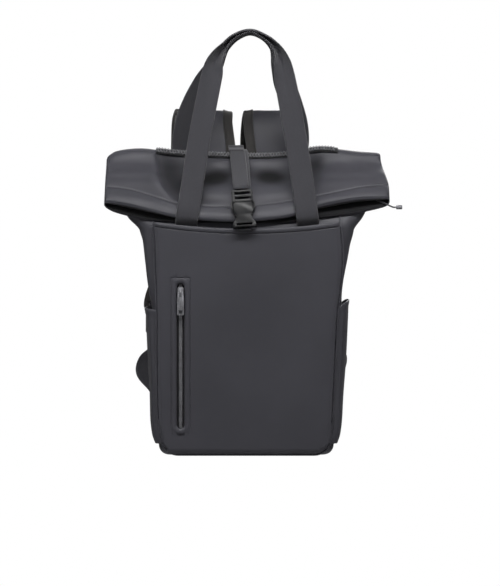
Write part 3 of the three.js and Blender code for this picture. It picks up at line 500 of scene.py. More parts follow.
def finish_with(obj, *materials):
    """The piece's materials, in the order of its faces' numbers."""
    for material in materials:
        obj.data.materials.append(material)
    return obj


def dressed(name, skin, kind, fold=None):
    """A piece in one finish from its skin: points, faces and uv."""
    points, faces, uv = skin
    obj = new_piece(name, points, faces, uv=uv, fold=fold)
    return finish_with(obj, finish(kind))


def joined(parts):
    """Several (points, faces, uv) as one."""
    points, faces, uvs, count = [], [], [], 0
    for p, f, t in parts:
        p = np.asarray(p, float).reshape(-1, 3)
        points.append(p)
        faces.extend([[corner + count for corner in face] for face in f])
        uvs.append(np.zeros((len(p), 2)) if t is None else np.asarray(t).reshape(-1, 2))
        count += len(p)
    return np.concatenate(points), faces, np.concatenate(uvs)


def arc_length(points, axis):
    """The distance run along one axis of a grid of points, from its first row, in metres."""
    step = np.linalg.norm(np.diff(points, axis=axis), axis=-1)
    zero = np.zeros_like(np.take(step, [0], axis=axis))
    return np.concatenate([zero, np.cumsum(step, axis=axis)], axis=axis) * MM


def grid_normals(points):
    """Unit normals of a grid of points, from its two central differences."""
    return unit(np.cross(np.gradient(points, axis=0), np.gradient(points, axis=1)))


def thick_sheet(front, wall, keep=None):
    """A sheet with a wall: the given grid and its copy set back along the normals, joined by
    rims round the edges and round any cells that keep leaves out. Returns points, faces and
    uv. wall may be a number or one for each point, and its sign says to which side it goes."""
    rows, columns = front.shape[:2]
    normals = grid_normals(front)
    back = front - normals * (np.zeros((rows, columns)) + wall)[..., None]
    cells = faces_of(rows, columns, False, False)
    if keep is not None:
        cells = cells[keep.ravel()]
    count = rows * columns
    edges = np.concatenate([cells[:, [k, (k + 1) % 4]] for k in range(4)])
    code = edges[:, 0] * count + edges[:, 1]
    mirrored = edges[:, 1] * count + edges[:, 0]
    rim = edges[~np.isin(code, mirrored)]
    sides = np.stack([rim[:, 1], rim[:, 0], rim[:, 0] + count, rim[:, 1] + count], 1)
    faces = np.concatenate([cells, cells[:, ::-1] + count, sides])
    uv = np.stack([arc_length(front, 1), arc_length(front, 0)], -1).reshape(-1, 2)
    points = np.concatenate([front.reshape(-1, 3), back.reshape(-1, 3)])
    used, numbers = np.unique(faces, return_inverse=True)
    return points[used], numbers.reshape(faces.shape), np.concatenate([uv, uv])[used]


def tube(rings, closed=False):
    """A skin over a row of closed rings, shut at both ends by a fan, or closed on itself.
    uv runs round the ring and along the row, in metres."""
    rings = np.asarray(rings, float)
    rows, columns = rings.shape[:2]
    faces = faces_of(rows, columns, closed, True).tolist()
    points = rings.reshape(-1, 3)
    around = arc_length(rings, 1)
    along = arc_length(rings, 0).mean(1, keepdims=True) + 0 * around
    uv = np.stack([around, along], -1).reshape(-1, 2)
    if not closed:
        ends = np.stack([rings[0].mean(0), rings[-1].mean(0)])
        first = rows * columns
        c = np.arange(columns)
        n = (c + 1) % columns
        last = (rows - 1) * columns
        faces += np.stack([n, c, np.full(columns, first)], 1).tolist()
        faces += np.stack([c + last, n + last, np.full(columns, first + 1)], 1).tolist()
        points = np.concatenate([points, ends])
        uv = np.concatenate([uv, uv[:1], uv[-1:]])
    return points, faces, uv


def smooth_route(points, steps):
    """A centripetal Catmull-Rom curve: between two points the step in the parameter is the
    fourth root of their squared distance, and each stretch is the cubic with those tangents.
    Returns the places along it and the share of the way, counted in points."""
    p = np.asarray(points, float)
    p = np.concatenate([[2 * p[0] - p[1]], p, [2 * p[-1] - p[-2]]])
    gap = np.maximum(np.sum(np.diff(p, axis=0) ** 2, axis=1) ** 0.25, 1e-4)
    t = np.linspace(0, len(points) - 1, (len(points) - 1) * steps + 1)
    i = np.minimum(t.astype(int), len(points) - 2)
    u = (t - i)[:, None]
    d0, d1, d2 = (gap[i + k][:, None] for k in range(3))
    p0, p1, p2, p3 = (p[i + k] for k in range(4))
    m1 = ((p1 - p0) / d0 - (p2 - p0) / (d0 + d1) + (p2 - p1) / d1) * d1
    m2 = ((p2 - p1) / d1 - (p3 - p1) / (d1 + d2) + (p3 - p2) / d2) * d1
    return cubic(u, p1, m1, p2, m2), t


def even_route(at, pitch):
    """A line of points again at even steps of about the pitch, and the distance run."""
    run = np.concatenate([[0], np.cumsum(np.linalg.norm(np.diff(at, axis=0), axis=1))])
    count = max(int(round(run[-1] / pitch)), 2)
    steps = np.linspace(0, run[-1], count + 1)
    return np.stack([np.interp(steps, run, at[:, k]) for k in range(3)], 1), steps, run


def frames_along(at, kept, keeps_width):
    """Two unit directions square to a route: its width and its thickness. kept is the
    direction that one of them keeps to as nearly as it can."""
    ahead = unit(np.gradient(at, axis=0))
    kept = np.broadcast_to(np.asarray(kept, float), at.shape)
    first = unit(kept - np.sum(kept * ahead, 1, keepdims=True) * ahead)
    other = unit(np.cross(ahead, first))
    return (first, other) if keeps_width else (other, first)


def dents(x, z, rows):
    """The sum of soft hollows and ridges: each is a bell curve over an oval at x, z, turned by
    an angle in degrees, with a height in millimetres that is negative in a hollow."""
    total = np.zeros(np.broadcast(x, z).shape)
    for x0, z0, wide, high, turn, height in zip(*rows.values()):
        c, s = math.cos(math.radians(turn)), math.sin(math.radians(turn))
        a = ((x - x0) * c + (z - z0) * s) / wide
        b = (-(x - x0) * s + (z - z0) * c) / high
        total += height * np.exp(-(a**2) - b**2)
    return total


# Materials


class Finish:
    """A material being made: adds nodes, sets their sockets and links them."""

    def __init__(self, name):
        self.material = bpy.data.materials.new(name)
        self.material.use_nodes = True
        self.nodes = self.material.node_tree.nodes
        self.links = self.material.node_tree.links
        self.shader = self.nodes["Principled BSDF"]

    def add(self, kind, values=(), **settings):
        """A node with its settings, and its input sockets set or linked by place or name."""
        node = self.nodes.new(kind)
        for name, value in settings.items():
            setattr(node, name, value)
        self.wire(node, dict(values) if isinstance(values, dict) else dict(enumerate(values)))
        return node

    def wire(self, node, values):
        """Sets or links a node's inputs. None leaves a socket as it is."""
        for key, value in values.items():
            if value is None:
                continue
            if isinstance(value, bpy.types.Node):
                value = value.outputs[0]
            if isinstance(value, bpy.types.NodeSocket):
                self.links.new(value, node.inputs[key])
            else:
                node.inputs[key].default_value = value

    def math(self, operation, *values):
        """One Math node."""
        return self.add("ShaderNodeMath", values, operation=operation).outputs[0]

    def objects(self):
        """Object coordinates, in metres."""
        return self.add("ShaderNodeTexCoord").outputs["Object"]

    def cloth(self):
        """The piece's own cloth coordinates, in metres."""
        return self.add("ShaderNodeUVMap", uv_map="cloth").outputs[0]

    def noise(self, vector, scale, detail=2.0, rough=0.5):
        """Noise of so many cells in a metre."""
        return self.add(
            "ShaderNodeTexNoise",
            {"Vector": vector, "Scale": scale, "Detail": detail, "Roughness": rough},
        ).outputs["Fac"]

    def wave(self, vector, across, along, pitch):
        """A sine of the given pitch in metres along one direction of the coordinates."""
        turn = 2 * math.pi / pitch
        dot = self.add(
            "ShaderNodeVectorMath", (vector, (across * turn, along * turn, 0)),
            operation="DOT_PRODUCT",
        )
        return self.math("SINE", dot.outputs["Value"])

    def mixed(self, share, first, second):
        """A blend of two colours, each a colour or a socket."""
        values = {0: share}
        for key, colour in ((6, first), (7, second)):
            values[key] = (*colour, 1) if isinstance(colour, (tuple, list)) else colour
        return self.add("ShaderNodeMix", values, data_type="RGBA").outputs[2]

    def spread(self, value, low, high, to_low=0.0, to_high=1.0):
        """A value spread from one range to another, and held at its ends."""
        return self.add("ShaderNodeMapRange", (value, low, high, to_low, to_high)).outputs[0]

    def bump(self, height, distance, strength=1.0, under=None):
        """A bump of a height in metres, over another bump."""
        return self.add(
            "ShaderNodeBump",
            {"Height": height, "Distance": distance, "Strength": strength, "Normal": under},
        ).outputs[0]

    def done(self, **sockets):
        """Sets or links the shader's sockets and returns the material."""
        self.wire(self.shader, {k.replace("_", " "): v for k, v in sockets.items()})
        return self.material


def shade(colour, factor):
    """A colour made lighter or darker."""
    return tuple(min(c * factor, 1.0) for c in colour)


def coated_cloth(name, colour):
    """Smooth coated cloth: faint cloudy colour, a fine leather-like grain with tiny pits, soft
    unevenness, a matte sheen that varies a little, and painted shade, a much deeper and rougher
    colour, where the mesh's fold attribute says that the cloth lies in one of its hollows."""
    f = Finish(name)
    at = f.objects()
    clouds = f.noise(at, 9.0, 3.0)
    grain = f.noise(at, 900.0, 3.0, 0.6)
    pits = f.add(
        "ShaderNodeTexVoronoi", {"Vector": at, "Scale": 1300.0}, feature="SMOOTH_F1"
    ).outputs["Distance"]
    handled = f.noise(at, 45.0, 5.0, 0.62)
    base = f.mixed(f.spread(clouds, 0.35, 0.68), shade(colour, 0.93), shade(colour, 1.07))
    worn = f.mixed(f.spread(handled, 0.56, 0.78, 0, 0.35), base, shade(colour, 1.16))
    speckled = f.mixed(f.spread(grain, 0.55, 0.75, 0, 0.3), worn, shade(colour, 0.86))
    fold = f.add("ShaderNodeAttribute", attribute_name="fold").outputs["Fac"]
    # Painted shade: where the fold attribute is negative the colour falls almost to black, standing
    # in for the shade in the cloth's hollows and inside the folded top.
    with_painted_shade = f.mixed(f.spread(fold, -0.9, -0.08, 0.95, 0.0), speckled, shade(colour, 0.06))
    relief = f.math("ADD", f.math("MULTIPLY", grain, 0.6), f.math("MULTIPLY", pits, 0.4))
    soft = f.bump(f.noise(at, 28.0, 3.0), 0.0012, 0.25)
    fine = f.bump(relief, 0.00012, 0.55, soft)
    return f.done(
        Base_Color=with_painted_shade,
        Roughness=f.math(
            "MAXIMUM", f.spread(handled, 0.3, 0.7, 0.46, 0.56),
            f.spread(fold, -0.7, -0.1, 0.9, 0.4)),
        Normal=fine,
        Sheen_Weight=0.04,
        Sheen_Roughness=0.45,
        Specular_IOR_Level=0.32,
    )


def woven(name, colour, pitch, ribs=False, rough=0.86):
    """Woven tape: warp and weft as two waves crossing at the yarns' pitch, or ribs across the
    tape, with single yarns lighter or darker and a few loose fibres, and painted shade in the
    weave's low places with painted highlight on its high ones."""
    f = Finish(name)
    cloth = f.cloth()
    if ribs:
        weave = f.math("ABSOLUTE", f.wave(cloth, 0, 1, 2 * pitch))
        cross = f.wave(cloth, 1, 0, pitch * 0.8)
        height = f.math("ADD", weave, f.math("MULTIPLY", cross, 0.15))
    else:
        left = f.wave(cloth, 0.72, 0.7, pitch)
        right = f.wave(cloth, -0.72, 0.7, pitch)
        weave = f.math("MULTIPLY", left, right)
        cross = f.wave(cloth, 0, 1, pitch * 1.6)
        height = f.math("ADD", weave, f.math("MULTIPLY", cross, 0.3))
    flecks = f.noise(cloth, 620.0, 3.0, 0.75)
    yarns = f.noise(f.add(
        "ShaderNodeMapping", {"Vector": cloth, "Scale": (900, 45, 1)}).outputs[0], 1.0, 2.0)
    fluff = f.noise(cloth, 70.0, 4.0, 0.6)
    # Painted shade and highlight: the weave's height makes its low places deeper in colour and its
    # high ones lighter.
    weave_shade_and_highlight = f.mixed(f.spread(height, -0.8, 0.9), shade(colour, 0.66), shade(colour, 1.2))
    toned = f.mixed(f.spread(flecks, 0.42, 0.72, 0, 0.5), weave_shade_and_highlight, shade(colour, 1.5))
    streaked = f.mixed(f.spread(yarns, 0.5, 0.75, 0, 0.3), toned, shade(colour, 0.72))
    base = f.mixed(f.spread(fluff, 0.5, 0.8, 0, 0.25), streaked, shade(colour, 1.25))
    woven_bump = f.bump(f.spread(height, -1.3, 1.3), 0.00028, 0.8)
    return f.done(
        Base_Color=base,
        Roughness=rough,
        Normal=f.bump(flecks, 0.00012, 0.6, woven_bump),
        Sheen_Weight=0.3,
        Sheen_Roughness=0.5,
        Specular_IOR_Level=0.25,
    )


def knitted(name, colour):
    """Spacer knit: round holes in a hexagonal net, with painted shade inside the holes."""
    f = Finish(name)
    at = f.objects()
    holes = f.add(
        "ShaderNodeTexVoronoi", {"Vector": at, "Scale": 420.0, "Randomness": 0.25}
    ).outputs["Distance"]
    fibres = f.noise(at, 1500.0, 2.0)
    net = f.spread(holes, 0.12, 0.5)
    # Painted shade: the holes are coloured far deeper than the net, as shade inside them.
    base = f.mixed(net, shade(colour, 0.35), shade(colour, 1.25))
    base = f.mixed(f.spread(fibres, 0.45, 0.8, 0, 0.5), base, shade(colour, 1.7))
    return f.done(
        Base_Color=base,
        Roughness=0.9,
        Normal=f.bump(net, 0.0007, 0.8, f.bump(fibres, 0.0001, 0.5)),
        Sheen_Weight=0.35,
        Specular_IOR_Level=0.2,
    )


def moulded(name, colour, rough=0.36):
    """Moulded plastic: a fine spark-eroded grain, faint flow marks and rubbed patches."""
    f = Finish(name)
    at = f.objects()
    grain = f.noise(at, 2600.0, 2.0, 0.6)
    flow = f.noise(at, 130.0, 4.0, 0.55)
    base = f.mixed(f.spread(flow, 0.35, 0.7), shade(colour, 0.85), shade(colour, 1.25))
    return f.done(
        Base_Color=base,
        Roughness=f.spread(flow, 0.3, 0.7, rough - 0.06, rough + 0.1),
        Normal=f.bump(grain, 0.00005, 0.5),
        Specular_IOR_Level=0.3,
    )


def brushed(name, colour):
    """Brushed metal: fine scratches along the piece's length and a few dull spots."""
    f = Finish(name)
    at = f.objects()
    lines = f.noise(f.add(
        "ShaderNodeMapping", {"Vector": at, "Scale": (2600, 2600, 90)}).outputs[0], 1.0, 3.0)
    spots = f.noise(at, 420.0, 3.0)
    base = f.mixed(f.spread(spots, 0.4, 0.7), shade(colour, 0.82), shade(colour, 1.1))
    return f.done(
        Base_Color=base,
        Metallic=1.0,
        Roughness=f.spread(lines, 0.3, 0.7, 0.24, 0.42),
        Normal=f.bump(lines, 0.00003, 0.5),
    )


def twisted_thread(name, colour):
    """Sewing thread: a slanting twist and a little lustre."""
    f = Finish(name)
    at = f.objects()
    twist = f.wave(at, 0.7, 0.7, 0.0006)
    base = f.mixed(f.spread(twist, -1, 1), shade(colour, 0.7), shade(colour, 1.4))
    return f.done(Base_Color=base, Roughness=0.6, Specular_IOR_Level=0.35)


def plain_floor(name, colour):
    """A pale floor with the faintest grain, which fades into the pale surroundings."""
    f = Finish(name)
    at = f.objects()
    grain = f.noise(at, 60.0, 4.0)
    base = f.mixed(f.spread(grain, 0.3, 0.7), shade(colour, 0.985), colour)
    away = f.add("ShaderNodeVectorMath", (at,), operation="LENGTH").outputs["Value"]
    seen = f.add("ShaderNodeLightPath").outputs["Is Camera Ray"]
    return f.done(
        Base_Color=base,
        Roughness=0.9,
        Specular_IOR_Level=0.1,
        Alpha=f.spread(away, 0.75, 2.1, 1.0, 0.0),
        Emission_Color=(1.0, 1.0, 1.0, 1.0),
        Emission_Strength=f.math("MULTIPLY", seen, 0.75),
    )


FINISHES = {}


def finish(kind):
    """One material for each finish, made when it is first asked for."""
    if kind not in FINISHES:
        s = bpy.context.scene.backpack
        makers = {
            "coated": lambda: coated_cloth("coated_cloth", tuple(s.coated)),
            "lining": lambda: coated_cloth("inner_face", tuple(s.lining)),
            "webbing": lambda: woven("webbing", tuple(s.webbing), s.weave_pitch),
            "binding": lambda: woven("ribbed_binding", tuple(s.binding), s.rib_pitch, ribs=True),
            "tape": lambda: woven("zip_tape", tuple(s.tape), s.weave_pitch),
            "padding": lambda: knitted("knitted_padding", tuple(s.padding)),
            "plastic": lambda: moulded("moulded_plastic", tuple(s.plastic)),
            "teeth": lambda: moulded("zip_teeth", tuple(s.teeth), 0.45),
            "metal": lambda: brushed("brushed_metal", tuple(s.metal)),
            "thread": lambda: twisted_thread("sewing_thread", tuple(s.yarn)),
            "floor": lambda: plain_floor("pale_floor", tuple(s.floor)),
        }
        FINISHES[kind] = makers[kind]()
    return FINISHES[kind]


# Stage


FRAME_WIDTH = 0.725
MIDDLE_HEIGHT = -0.37345
FILM = 36.0
WORLD_LIGHT = 0.07
FLOOR_RINGS = (0.01, 0.7, 1.4, 2.2)
FLOOR_SIDES = 96
# Each light's name, place, width and height in metres, and power in watts
LIGHTS = (
    ("overhead", (0.0, -0.8, 0.75), 2.6, 0.25, 15.0),
    ("front", (0.0, -3.2, 0.1), 2.4, 1.0, 3.5),
    ("left_side", (-1.9, -0.9, 0.0), 0.4, 1.6, 2.4),
    ("right_side", (1.9, -0.8, 0.0), 0.4, 1.6, 2.0),
    ("behind", (0.4, 2.2, 1.0), 1.6, 1.2, 30.0),
)


def area_light(name, place, wide, high, power):
    """A soft rectangular light that looks from its place to the bag's middle."""
    data = bpy.data.lights.new(name, "AREA")
    data.shape = "RECTANGLE"
    data.size = wide
    data.size_y = high
    data.energy = power
    data.spread = math.radians(120)
    light = bpy.data.objects.new(name, data)
    bpy.context.collection.objects.link(light)
    light.location = place
    aim = Vector((0, 0, MIDDLE_HEIGHT)) - Vector(place)
    light.rotation_euler = aim.to_track_quat("-Z", "Y").to_euler()


def camera_in_front(distance, rise):
    """The camera at the photograph's angle: straight ahead of the bag, a little above the
    level of its middle, with a long lens that fits the photograph's width."""
    data = bpy.data.cameras.new("camera")
    data.sensor_fit = "HORIZONTAL"
    data.sensor_width = FILM
    data.lens = FILM * distance / FRAME_WIDTH
    data.clip_end = 60
    camera = bpy.data.objects.new("camera", data)
    bpy.context.collection.objects.link(camera)
    camera.location = (
        0, -distance * math.cos(rise) + BASE[1] * MM,
        MIDDLE_HEIGHT + distance * math.sin(rise),
    )
    camera.rotation_euler = (math.pi / 2 - rise, 0, 0)
    bpy.context.scene.camera = camera


def pale_world(strength):
    """Even pale surroundings: white where they are seen, and softer as a light."""
    world = bpy.data.worlds.new("surroundings")
    world.use_nodes = True
    nodes, links = world.node_tree.nodes, world.node_tree.links
    background = nodes["Background"]
    seen = nodes.new("ShaderNodeLightPath")
    level = nodes.new("ShaderNodeMapRange")
    links.new(seen.outputs["Is Camera Ray"], level.inputs[0])
    level.inputs[3].default_value = strength
    level.inputs[4].default_value = 1.0
    background.inputs[0].default_value = (1, 1, 1, 1)
    links.new(level.outputs[0], background.inputs[1])
    bpy.context.scene.world = world


def floor_disc(height):
    """A round floor at a height: rings of points about the bag's middle line."""
    angle = np.linspace(0, 2 * math.pi, FLOOR_SIDES + 1)[:-1]
    radius = np.array(FLOOR_RINGS)[:, None]
    x, y = radius * np.cos(angle), radius * np.sin(angle)
    points = np.stack([x, y, np.full_like(x, height)], -1).reshape(-1, 3)
    mesh = bpy.data.meshes.new("floor")
    mesh.from_pydata(
        points, [], faces_of(len(FLOOR_RINGS), FLOOR_SIDES, False, True).tolist())
    floor = bpy.data.objects.new("floor", mesh)
    bpy.context.collection.objects.link(floor)
    return finish_with(floor, finish("floor"))


class BACKPACK_OT_stage(bpy.types.Operator):
    """Sets the camera, the soft lights, the pale surroundings and the floor"""

    bl_idname = "backpack.stage"
    bl_label = "Stage"

    def execute(self, context):
        s = context.scene.backpack
        camera_in_front(s.camera_distance, s.camera_rise)
        pale_world(WORLD_LIGHT)
        context.scene.view_settings.view_transform = "Standard"
        for light in LIGHTS:
            area_light(*light)
        floor = floor_disc(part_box("bag_body")[0][2] - s.floor_drop)
        return {"FINISHED"}


# Stitching


# A stitch's bead: its rings' places along it and their girths, and the sides of a ring
BEAD_ALONG = np.array([-1.0, -0.86, -0.45, 0.0, 0.45, 0.86, 1.0])
BEAD_GIRTH = np.array([0.35, 0.8, 1.0, 1.06, 1.0, 0.8, 0.35])
BEAD_SIDES = 6


def stitches(name, routes, drop=0.15):
    """Rows of thread: along each route (points in millimetres, and one outward direction or
    one for each) every stitch is a small bead, a bar whose radius falls to both ends and
    whose middle stands highest over the cloth."""
    s = bpy.context.scene.backpack
    long, pitch, radius = s.stitch_length / MM, s.stitch_pitch / MM, s.thread / MM / 2
    t, girth = BEAD_ALONG, radius * BEAD_GIRTH
    lift = -radius * 1.2 * t**4
    turn = np.arange(BEAD_SIDES) * (2 * math.pi / BEAD_SIDES)
    bead = len(t) * BEAD_SIDES
    last = bead - BEAD_SIDES
    caps = [[0, 5, 4, 3], [0, 3, 2, 1], [last + k for k in (0, 1, 2, 3)],
            [last + k for k in (0, 3, 4, 5)]]
    cell = np.concatenate([faces_of(len(t), BEAD_SIDES, False, True), caps])
    points, faces, count = [], [], 0
    for at, out in routes:
        line, run, old = even_route(at, pitch)
        if len(line) < 2:
            continue
        out = np.broadcast_to(np.asarray(out, float), at.shape)
        normal = unit(np.stack([np.interp(run, old, out[:, k]) for k in range(3)], 1))
        ahead = unit(np.gradient(line, axis=0))
        side = unit(np.cross(ahead, normal))
        centre = (line[:-1] + line[1:]) / 2
        n, a, b = (v[:-1, None, None] for v in (normal, ahead, side))
        body_line = centre[:, None, None] + a * (t * long / 2)[None, :, None, None]
        body_line = body_line + n * (lift - drop + radius)[None, :, None, None]
        circle_b = (girth[:, None] * np.cos(turn))[None, :, :, None]
        circle_n = (girth[:, None] * np.sin(turn))[None, :, :, None]
        p = body_line + b * circle_b + n * circle_n
        offsets = count + bead * np.arange(len(centre))
        faces.append((cell[None] + offsets[:, None, None]).reshape(-1, 4))
        points.append(p.reshape(-1, 3))
        count += bead * len(centre)
    skin = np.concatenate(points), np.concatenate(faces), None
    return dressed(name, skin, "thread")


# Main bag


# Soft hollows and ridges of the flap's outer face, in millimetres from the bag's middle line
# and its base: the wings stand full, and the cloth falls in between the handles and the strap.
FLAP_FOLDS = table(
    "x z wide high turn height",
    (-166, 402, 34, 34, 0, 3.4),
    (-42, 399, 21, 12, 8, -6.4),
    (-74, 392, 22, 12, 20, -3.0),
    (-46, 421, 26, 6, 0, 1.4),
    (-44, 374, 20, 8, -6, 0.8),
    (-52, 366, 26, 7, -4, -1.4),
    (33, 400, 27, 12, -4, -6.6),
    (34, 422, 34, 6, 0, 1.4),
    (36, 373, 26, 9, 6, 0.9),
    (40, 366, 26, 7, 4, -1.4),
    (99, 418, 16, 15, 12, -4.4),
    (96, 392, 14, 16, 0, -2.0),
    (156, 404, 32, 34, -18, 3.0),
    (150, 409, 40, 7, -42, -1.0),
    (176, 385, 26, 9, 10, 0.9),
)
# Where the left wing breaks: the crease's place across the flap and its depth, by height.
WING_CREASE = table(
    "z x deep",
    (345, -96, 0.0),
    (366, -108, 2.6),
    (382, -121, 5.0),
    (400, -130, 6.2),
    (418, -133, 6.0),
    (433, -136, 3.4),
    (441, -137, 0.6),
)
# The hem's height over the mouth edge across the flap.
HEMS = table(
    "across high",
    (-1.0, 22),
    (-0.77, 23),
    (-0.5, 20),
    (-0.05, 21),
    (0.3, 22),
    (0.5, 16),
    (0.72, 15.5),
    (1.0, 19),
)
# Pinched folds down the gussets: each one's place in depth and height, its half width and half
# height, its turn in degrees and how far it stands out.
GUSSET_FOLDS = {
    -1: table(
        "x z wide high turn height",
        (-58, 268, 4, 44, 6, 2.6),
        (-44, 250, 5, 40, 10, -2.2),
        (-28, 262, 7, 46, 8, 2.0),
        (-8, 246, 8, 40, 4, -1.6),
        (16, 262, 10, 48, -4, 1.8),
        (42, 256, 9, 44, -8, -1.5),
        (-50, 322, 10, 12, 30, 2.0),
        (30, 120, 20, 60, 0, 1.4),
    ),
    1: table(
        "x z wide high turn height",
        (-56, 262, 5, 40, -7, 2.4),
        (-40, 246, 6, 36, -9, -2.0),
        (-20, 258, 8, 44, -5, 1.9),
        (4, 246, 9, 40, 2, -1.6),
        (28, 262, 10, 46, 6, 1.7),
        (-46, 318, 12, 12, -24, 1.6),
        (20, 124, 22, 60, 0, 1.3),
    ),
}


def body_size(z):
    """Half widths, faces and corner of the bag's outer skin at heights, from the table."""
    z = np.asarray(z, float)
    up = np.where(z <= SHOULDER, z / SHOULDER, 1 + (z - SHOULDER) / (RIM - SHOULDER))
    flare = read(BODY, "flare", up)

    def half(column, end):
        return BODY_HALF * read(BODY, column, up) * (1 - flare) + end * flare

    def face(side, column):
        start = side * BODY_DEPTH / 2
        return start + (FOLD_LINE + side * DUCT_HALF - start) * read(BODY, column, up)

    return {
        "left": half("left", FLAP_HALF),
        "right": half("right", FLAP_HALF * RIGHT_TUCK),
        "front": face(-1, "front"),
        "back": face(1, "back"),
        "corner": BODY_CORNER * read(BODY, "round", up),
    }


def section(at, inset, face, corner, side):
    """Rectangles with round corners, one for each size, walked from the left front corner:
    the front, the right side, the back and the left side, with so many steps along a face, a
    corner and a side. Returns x, y and the outward direction's x and y."""
    radius = np.minimum(np.maximum(at["corner"] - inset, 0.5), (at["back"] - at["front"]) / 2
                        - inset - 0.001)
    left, right, front, back, radius = (
        np.atleast_1d(v)[:, None]
        for v in (-at["left"] + inset, at["right"] - inset, at["front"] + inset,
                  at["back"] - inset, radius)
    )
    f, c, s = (np.arange(n) / n for n in (face, corner, side))
    out = []

    def line(x0, y0, x1, y1, share, nx, ny):
        x = x0 + (x1 - x0) * share
        out.append(np.stack([x, y0 + (y1 - y0) * share, nx + 0 * x, ny + 0 * x], -1))

    def arc(x, y, start):
        angle = start + c * math.pi / 2 + 0 * x
        ways = [np.cos(angle), np.sin(angle)]
        out.append(np.stack([x + radius * ways[0], y + radius * ways[1], *ways], -1))

    line(left + radius, front, right - radius, front, f, 0, -1)
    arc(right - radius, front + radius, -math.pi / 2)
    line(right, front + radius, right, back - radius, s, 1, 0)
    arc(right - radius, back - radius, 0)
    line(right - radius, back, left + radius, back, f, 0, 1)
    arc(left + radius, back - radius, math.pi / 2)
    line(left, back - radius, left, front + radius, s, -1, 0)
    arc(left + radius, front + radius, math.pi)
    return np.concatenate(out, 1)


BODY_STEPS = {"face": 56, "corner": 9, "side": 34}


def body_relief(y, z, out_x):
    """How far the bag's cloth stands off its plain section: the gussets' pinched folds and a
    slack swell low on each side, which all fade out round the corners."""
    return sum(smoothstep(side * out_x, 0.1, 0.85) * dents(y, z, folds)
               for side, folds in GUSSET_FOLDS.items())


def bag_rings(inset, heights):
    """Rings of the bag's skin at the given heights, set in from the outer skin."""
    at = section(body_size(heights), inset, **BODY_STEPS)
    z = np.broadcast_to(heights[:, None], at.shape[:2])
    x, y, nx, ny = (at[..., k] for k in range(4))
    stand = body_relief(y, z, nx)
    return np.stack([x + nx * stand, y + ny * stand, z], -1)


def bag_shell():
    """The main bag: rings of its rounded section up the outer skin, from a quarter round at
    the base to the rim, and down the inner skin to the inner floor."""
    turn = np.linspace(0, math.pi / 2, 9)[:-1]
    base = section(body_size([BASE_ROUND]), BASE_ROUND * (1 - np.sin(turn)), **BODY_STEPS)
    rise = np.broadcast_to((BASE_ROUND * (1 - np.cos(turn)))[:, None], base.shape[:2])
    base = np.concatenate([base[..., :2], rise[..., None]], -1)
    heights = np.concatenate([np.linspace(BASE_ROUND, 180, 34)[:-1], np.linspace(180, RIM, 70)])
    inner = np.linspace(RIM, BASE_ROUND, 40)
    floor = base[3:4] * [0.98, 0.98, 0] + [0, 0, CLOTH]
    rings = np.concatenate([base, bag_rings(0, heights), bag_rings(CLOTH, inner), floor])
    obj = dressed("bag_shell", tube(rings), "coated")
    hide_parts("bag_body")
    return obj


# Folded top


def flap_face(z, offset):
    """The depth of the flap at heights: it lies on the neck's sloping front, and offset is
    measured square to that slope."""
    step = 4
    top = np.minimum(z, RIM - 2 * step)
    slope = (body_size(top + step)["front"] - body_size(top - step)["front"]) / (2 * step)
    face = body_size(top)["front"] - (DUCT_HALF + FLAP_CLEAR + offset) * np.hypot(1, slope)
    return face + (z - top) * slope


def fold_centre(across):
    """The height of the fold's centre across the flap."""
    return FOLD - read(FLAP, "dip", across) * FLAP_DROP - FOLD_OUTER


def flap_point(across, along, layer, stand=0.0):
    """Depth and height of a point of the folded tube. across runs over the width from -1 to 1,
    along from the rim over the fold to the mouth from 0 to 1, and layer from -1, the lower
    skin, to 1, the outer one. stand is a further distance off the skin. It is a riser, then an
    arc about the fold's centre, then a blend from the arc's tangent to the sloping face."""
    across, along, layer, stand = np.broadcast_arrays(across, along, layer, stand)
    centre = fold_centre(across)
    centre_y = FOLD_LINE - FOLD_RADIUS
    radius = FOLD_RADIUS + layer * DUCT_HALF + stand
    start = RIM + SEAT
    angle = BEND_ANGLE * np.clip((along - RISER) / (BEND - RISER), 0, 1)
    y = centre_y + radius * np.cos(angle)
    z = np.where(along <= RISER, start + (centre - start) * along / RISER,
                 centre + radius * np.sin(angle))
    share = np.clip((along - BEND) / (1 - BEND), 0, 1)
    lower, outer = read(FLAP, "lower", across), read(FLAP, "outer", across)
    edge = MOUTH + FLAP_DROP * (lower + (outer - lower) * (layer + 1) / 2)
    top = centre + radius * math.sin(BEND_ANGLE)
    down = top + (edge - top) * share
    gape = MOUTH_GAPE * read(FLAP, "gape", across) * share**2 * np.maximum(layer, 0)
    hung = flap_face(down, layer * DUCT_HALF + gape + stand)
    bent = centre_y + radius * math.cos(BEND_ANGLE) + (down - top)
    blend = smoothstep(share, 0, 0.45)
    laid = along > BEND
    return np.where(laid, bent * (1 - blend) + hung * blend, y), np.where(laid, down, z)


def crease_depth(x, z):
    """The wing's crease: a step down on its right side that eases out again."""
    past = x - read(WING_CREASE, "x", z)
    deep = read(WING_CREASE, "deep", z) * smoothstep(z, 345, 366)
    return deep, past, -deep * np.where(
        past > 0, (1 - np.exp(-past / 9)) * np.exp(-((past / 44) ** 2)), 0)


def flap_shade_depth(x, z):
    """How deep a point of the flap lies in its folds, from -1 where the hollows are deepest: the
    depth that paints shade into the cloth's colour.
    """
    return (dents(x, z, FLAP_FOLDS) + crease_depth(x, z)[2]) / 6


# The lower skin follows this share of the outer skin's hollows
LOWER_SHARE = 0.3
# The hem in millimetres: its groove, the turned cloth's step, its swell and its tucked edge
HEM_GROOVE, HEM_STEP, HEM_SWELL, HEM_TUCK = 0.9, 0.7, 1.5, 1.6


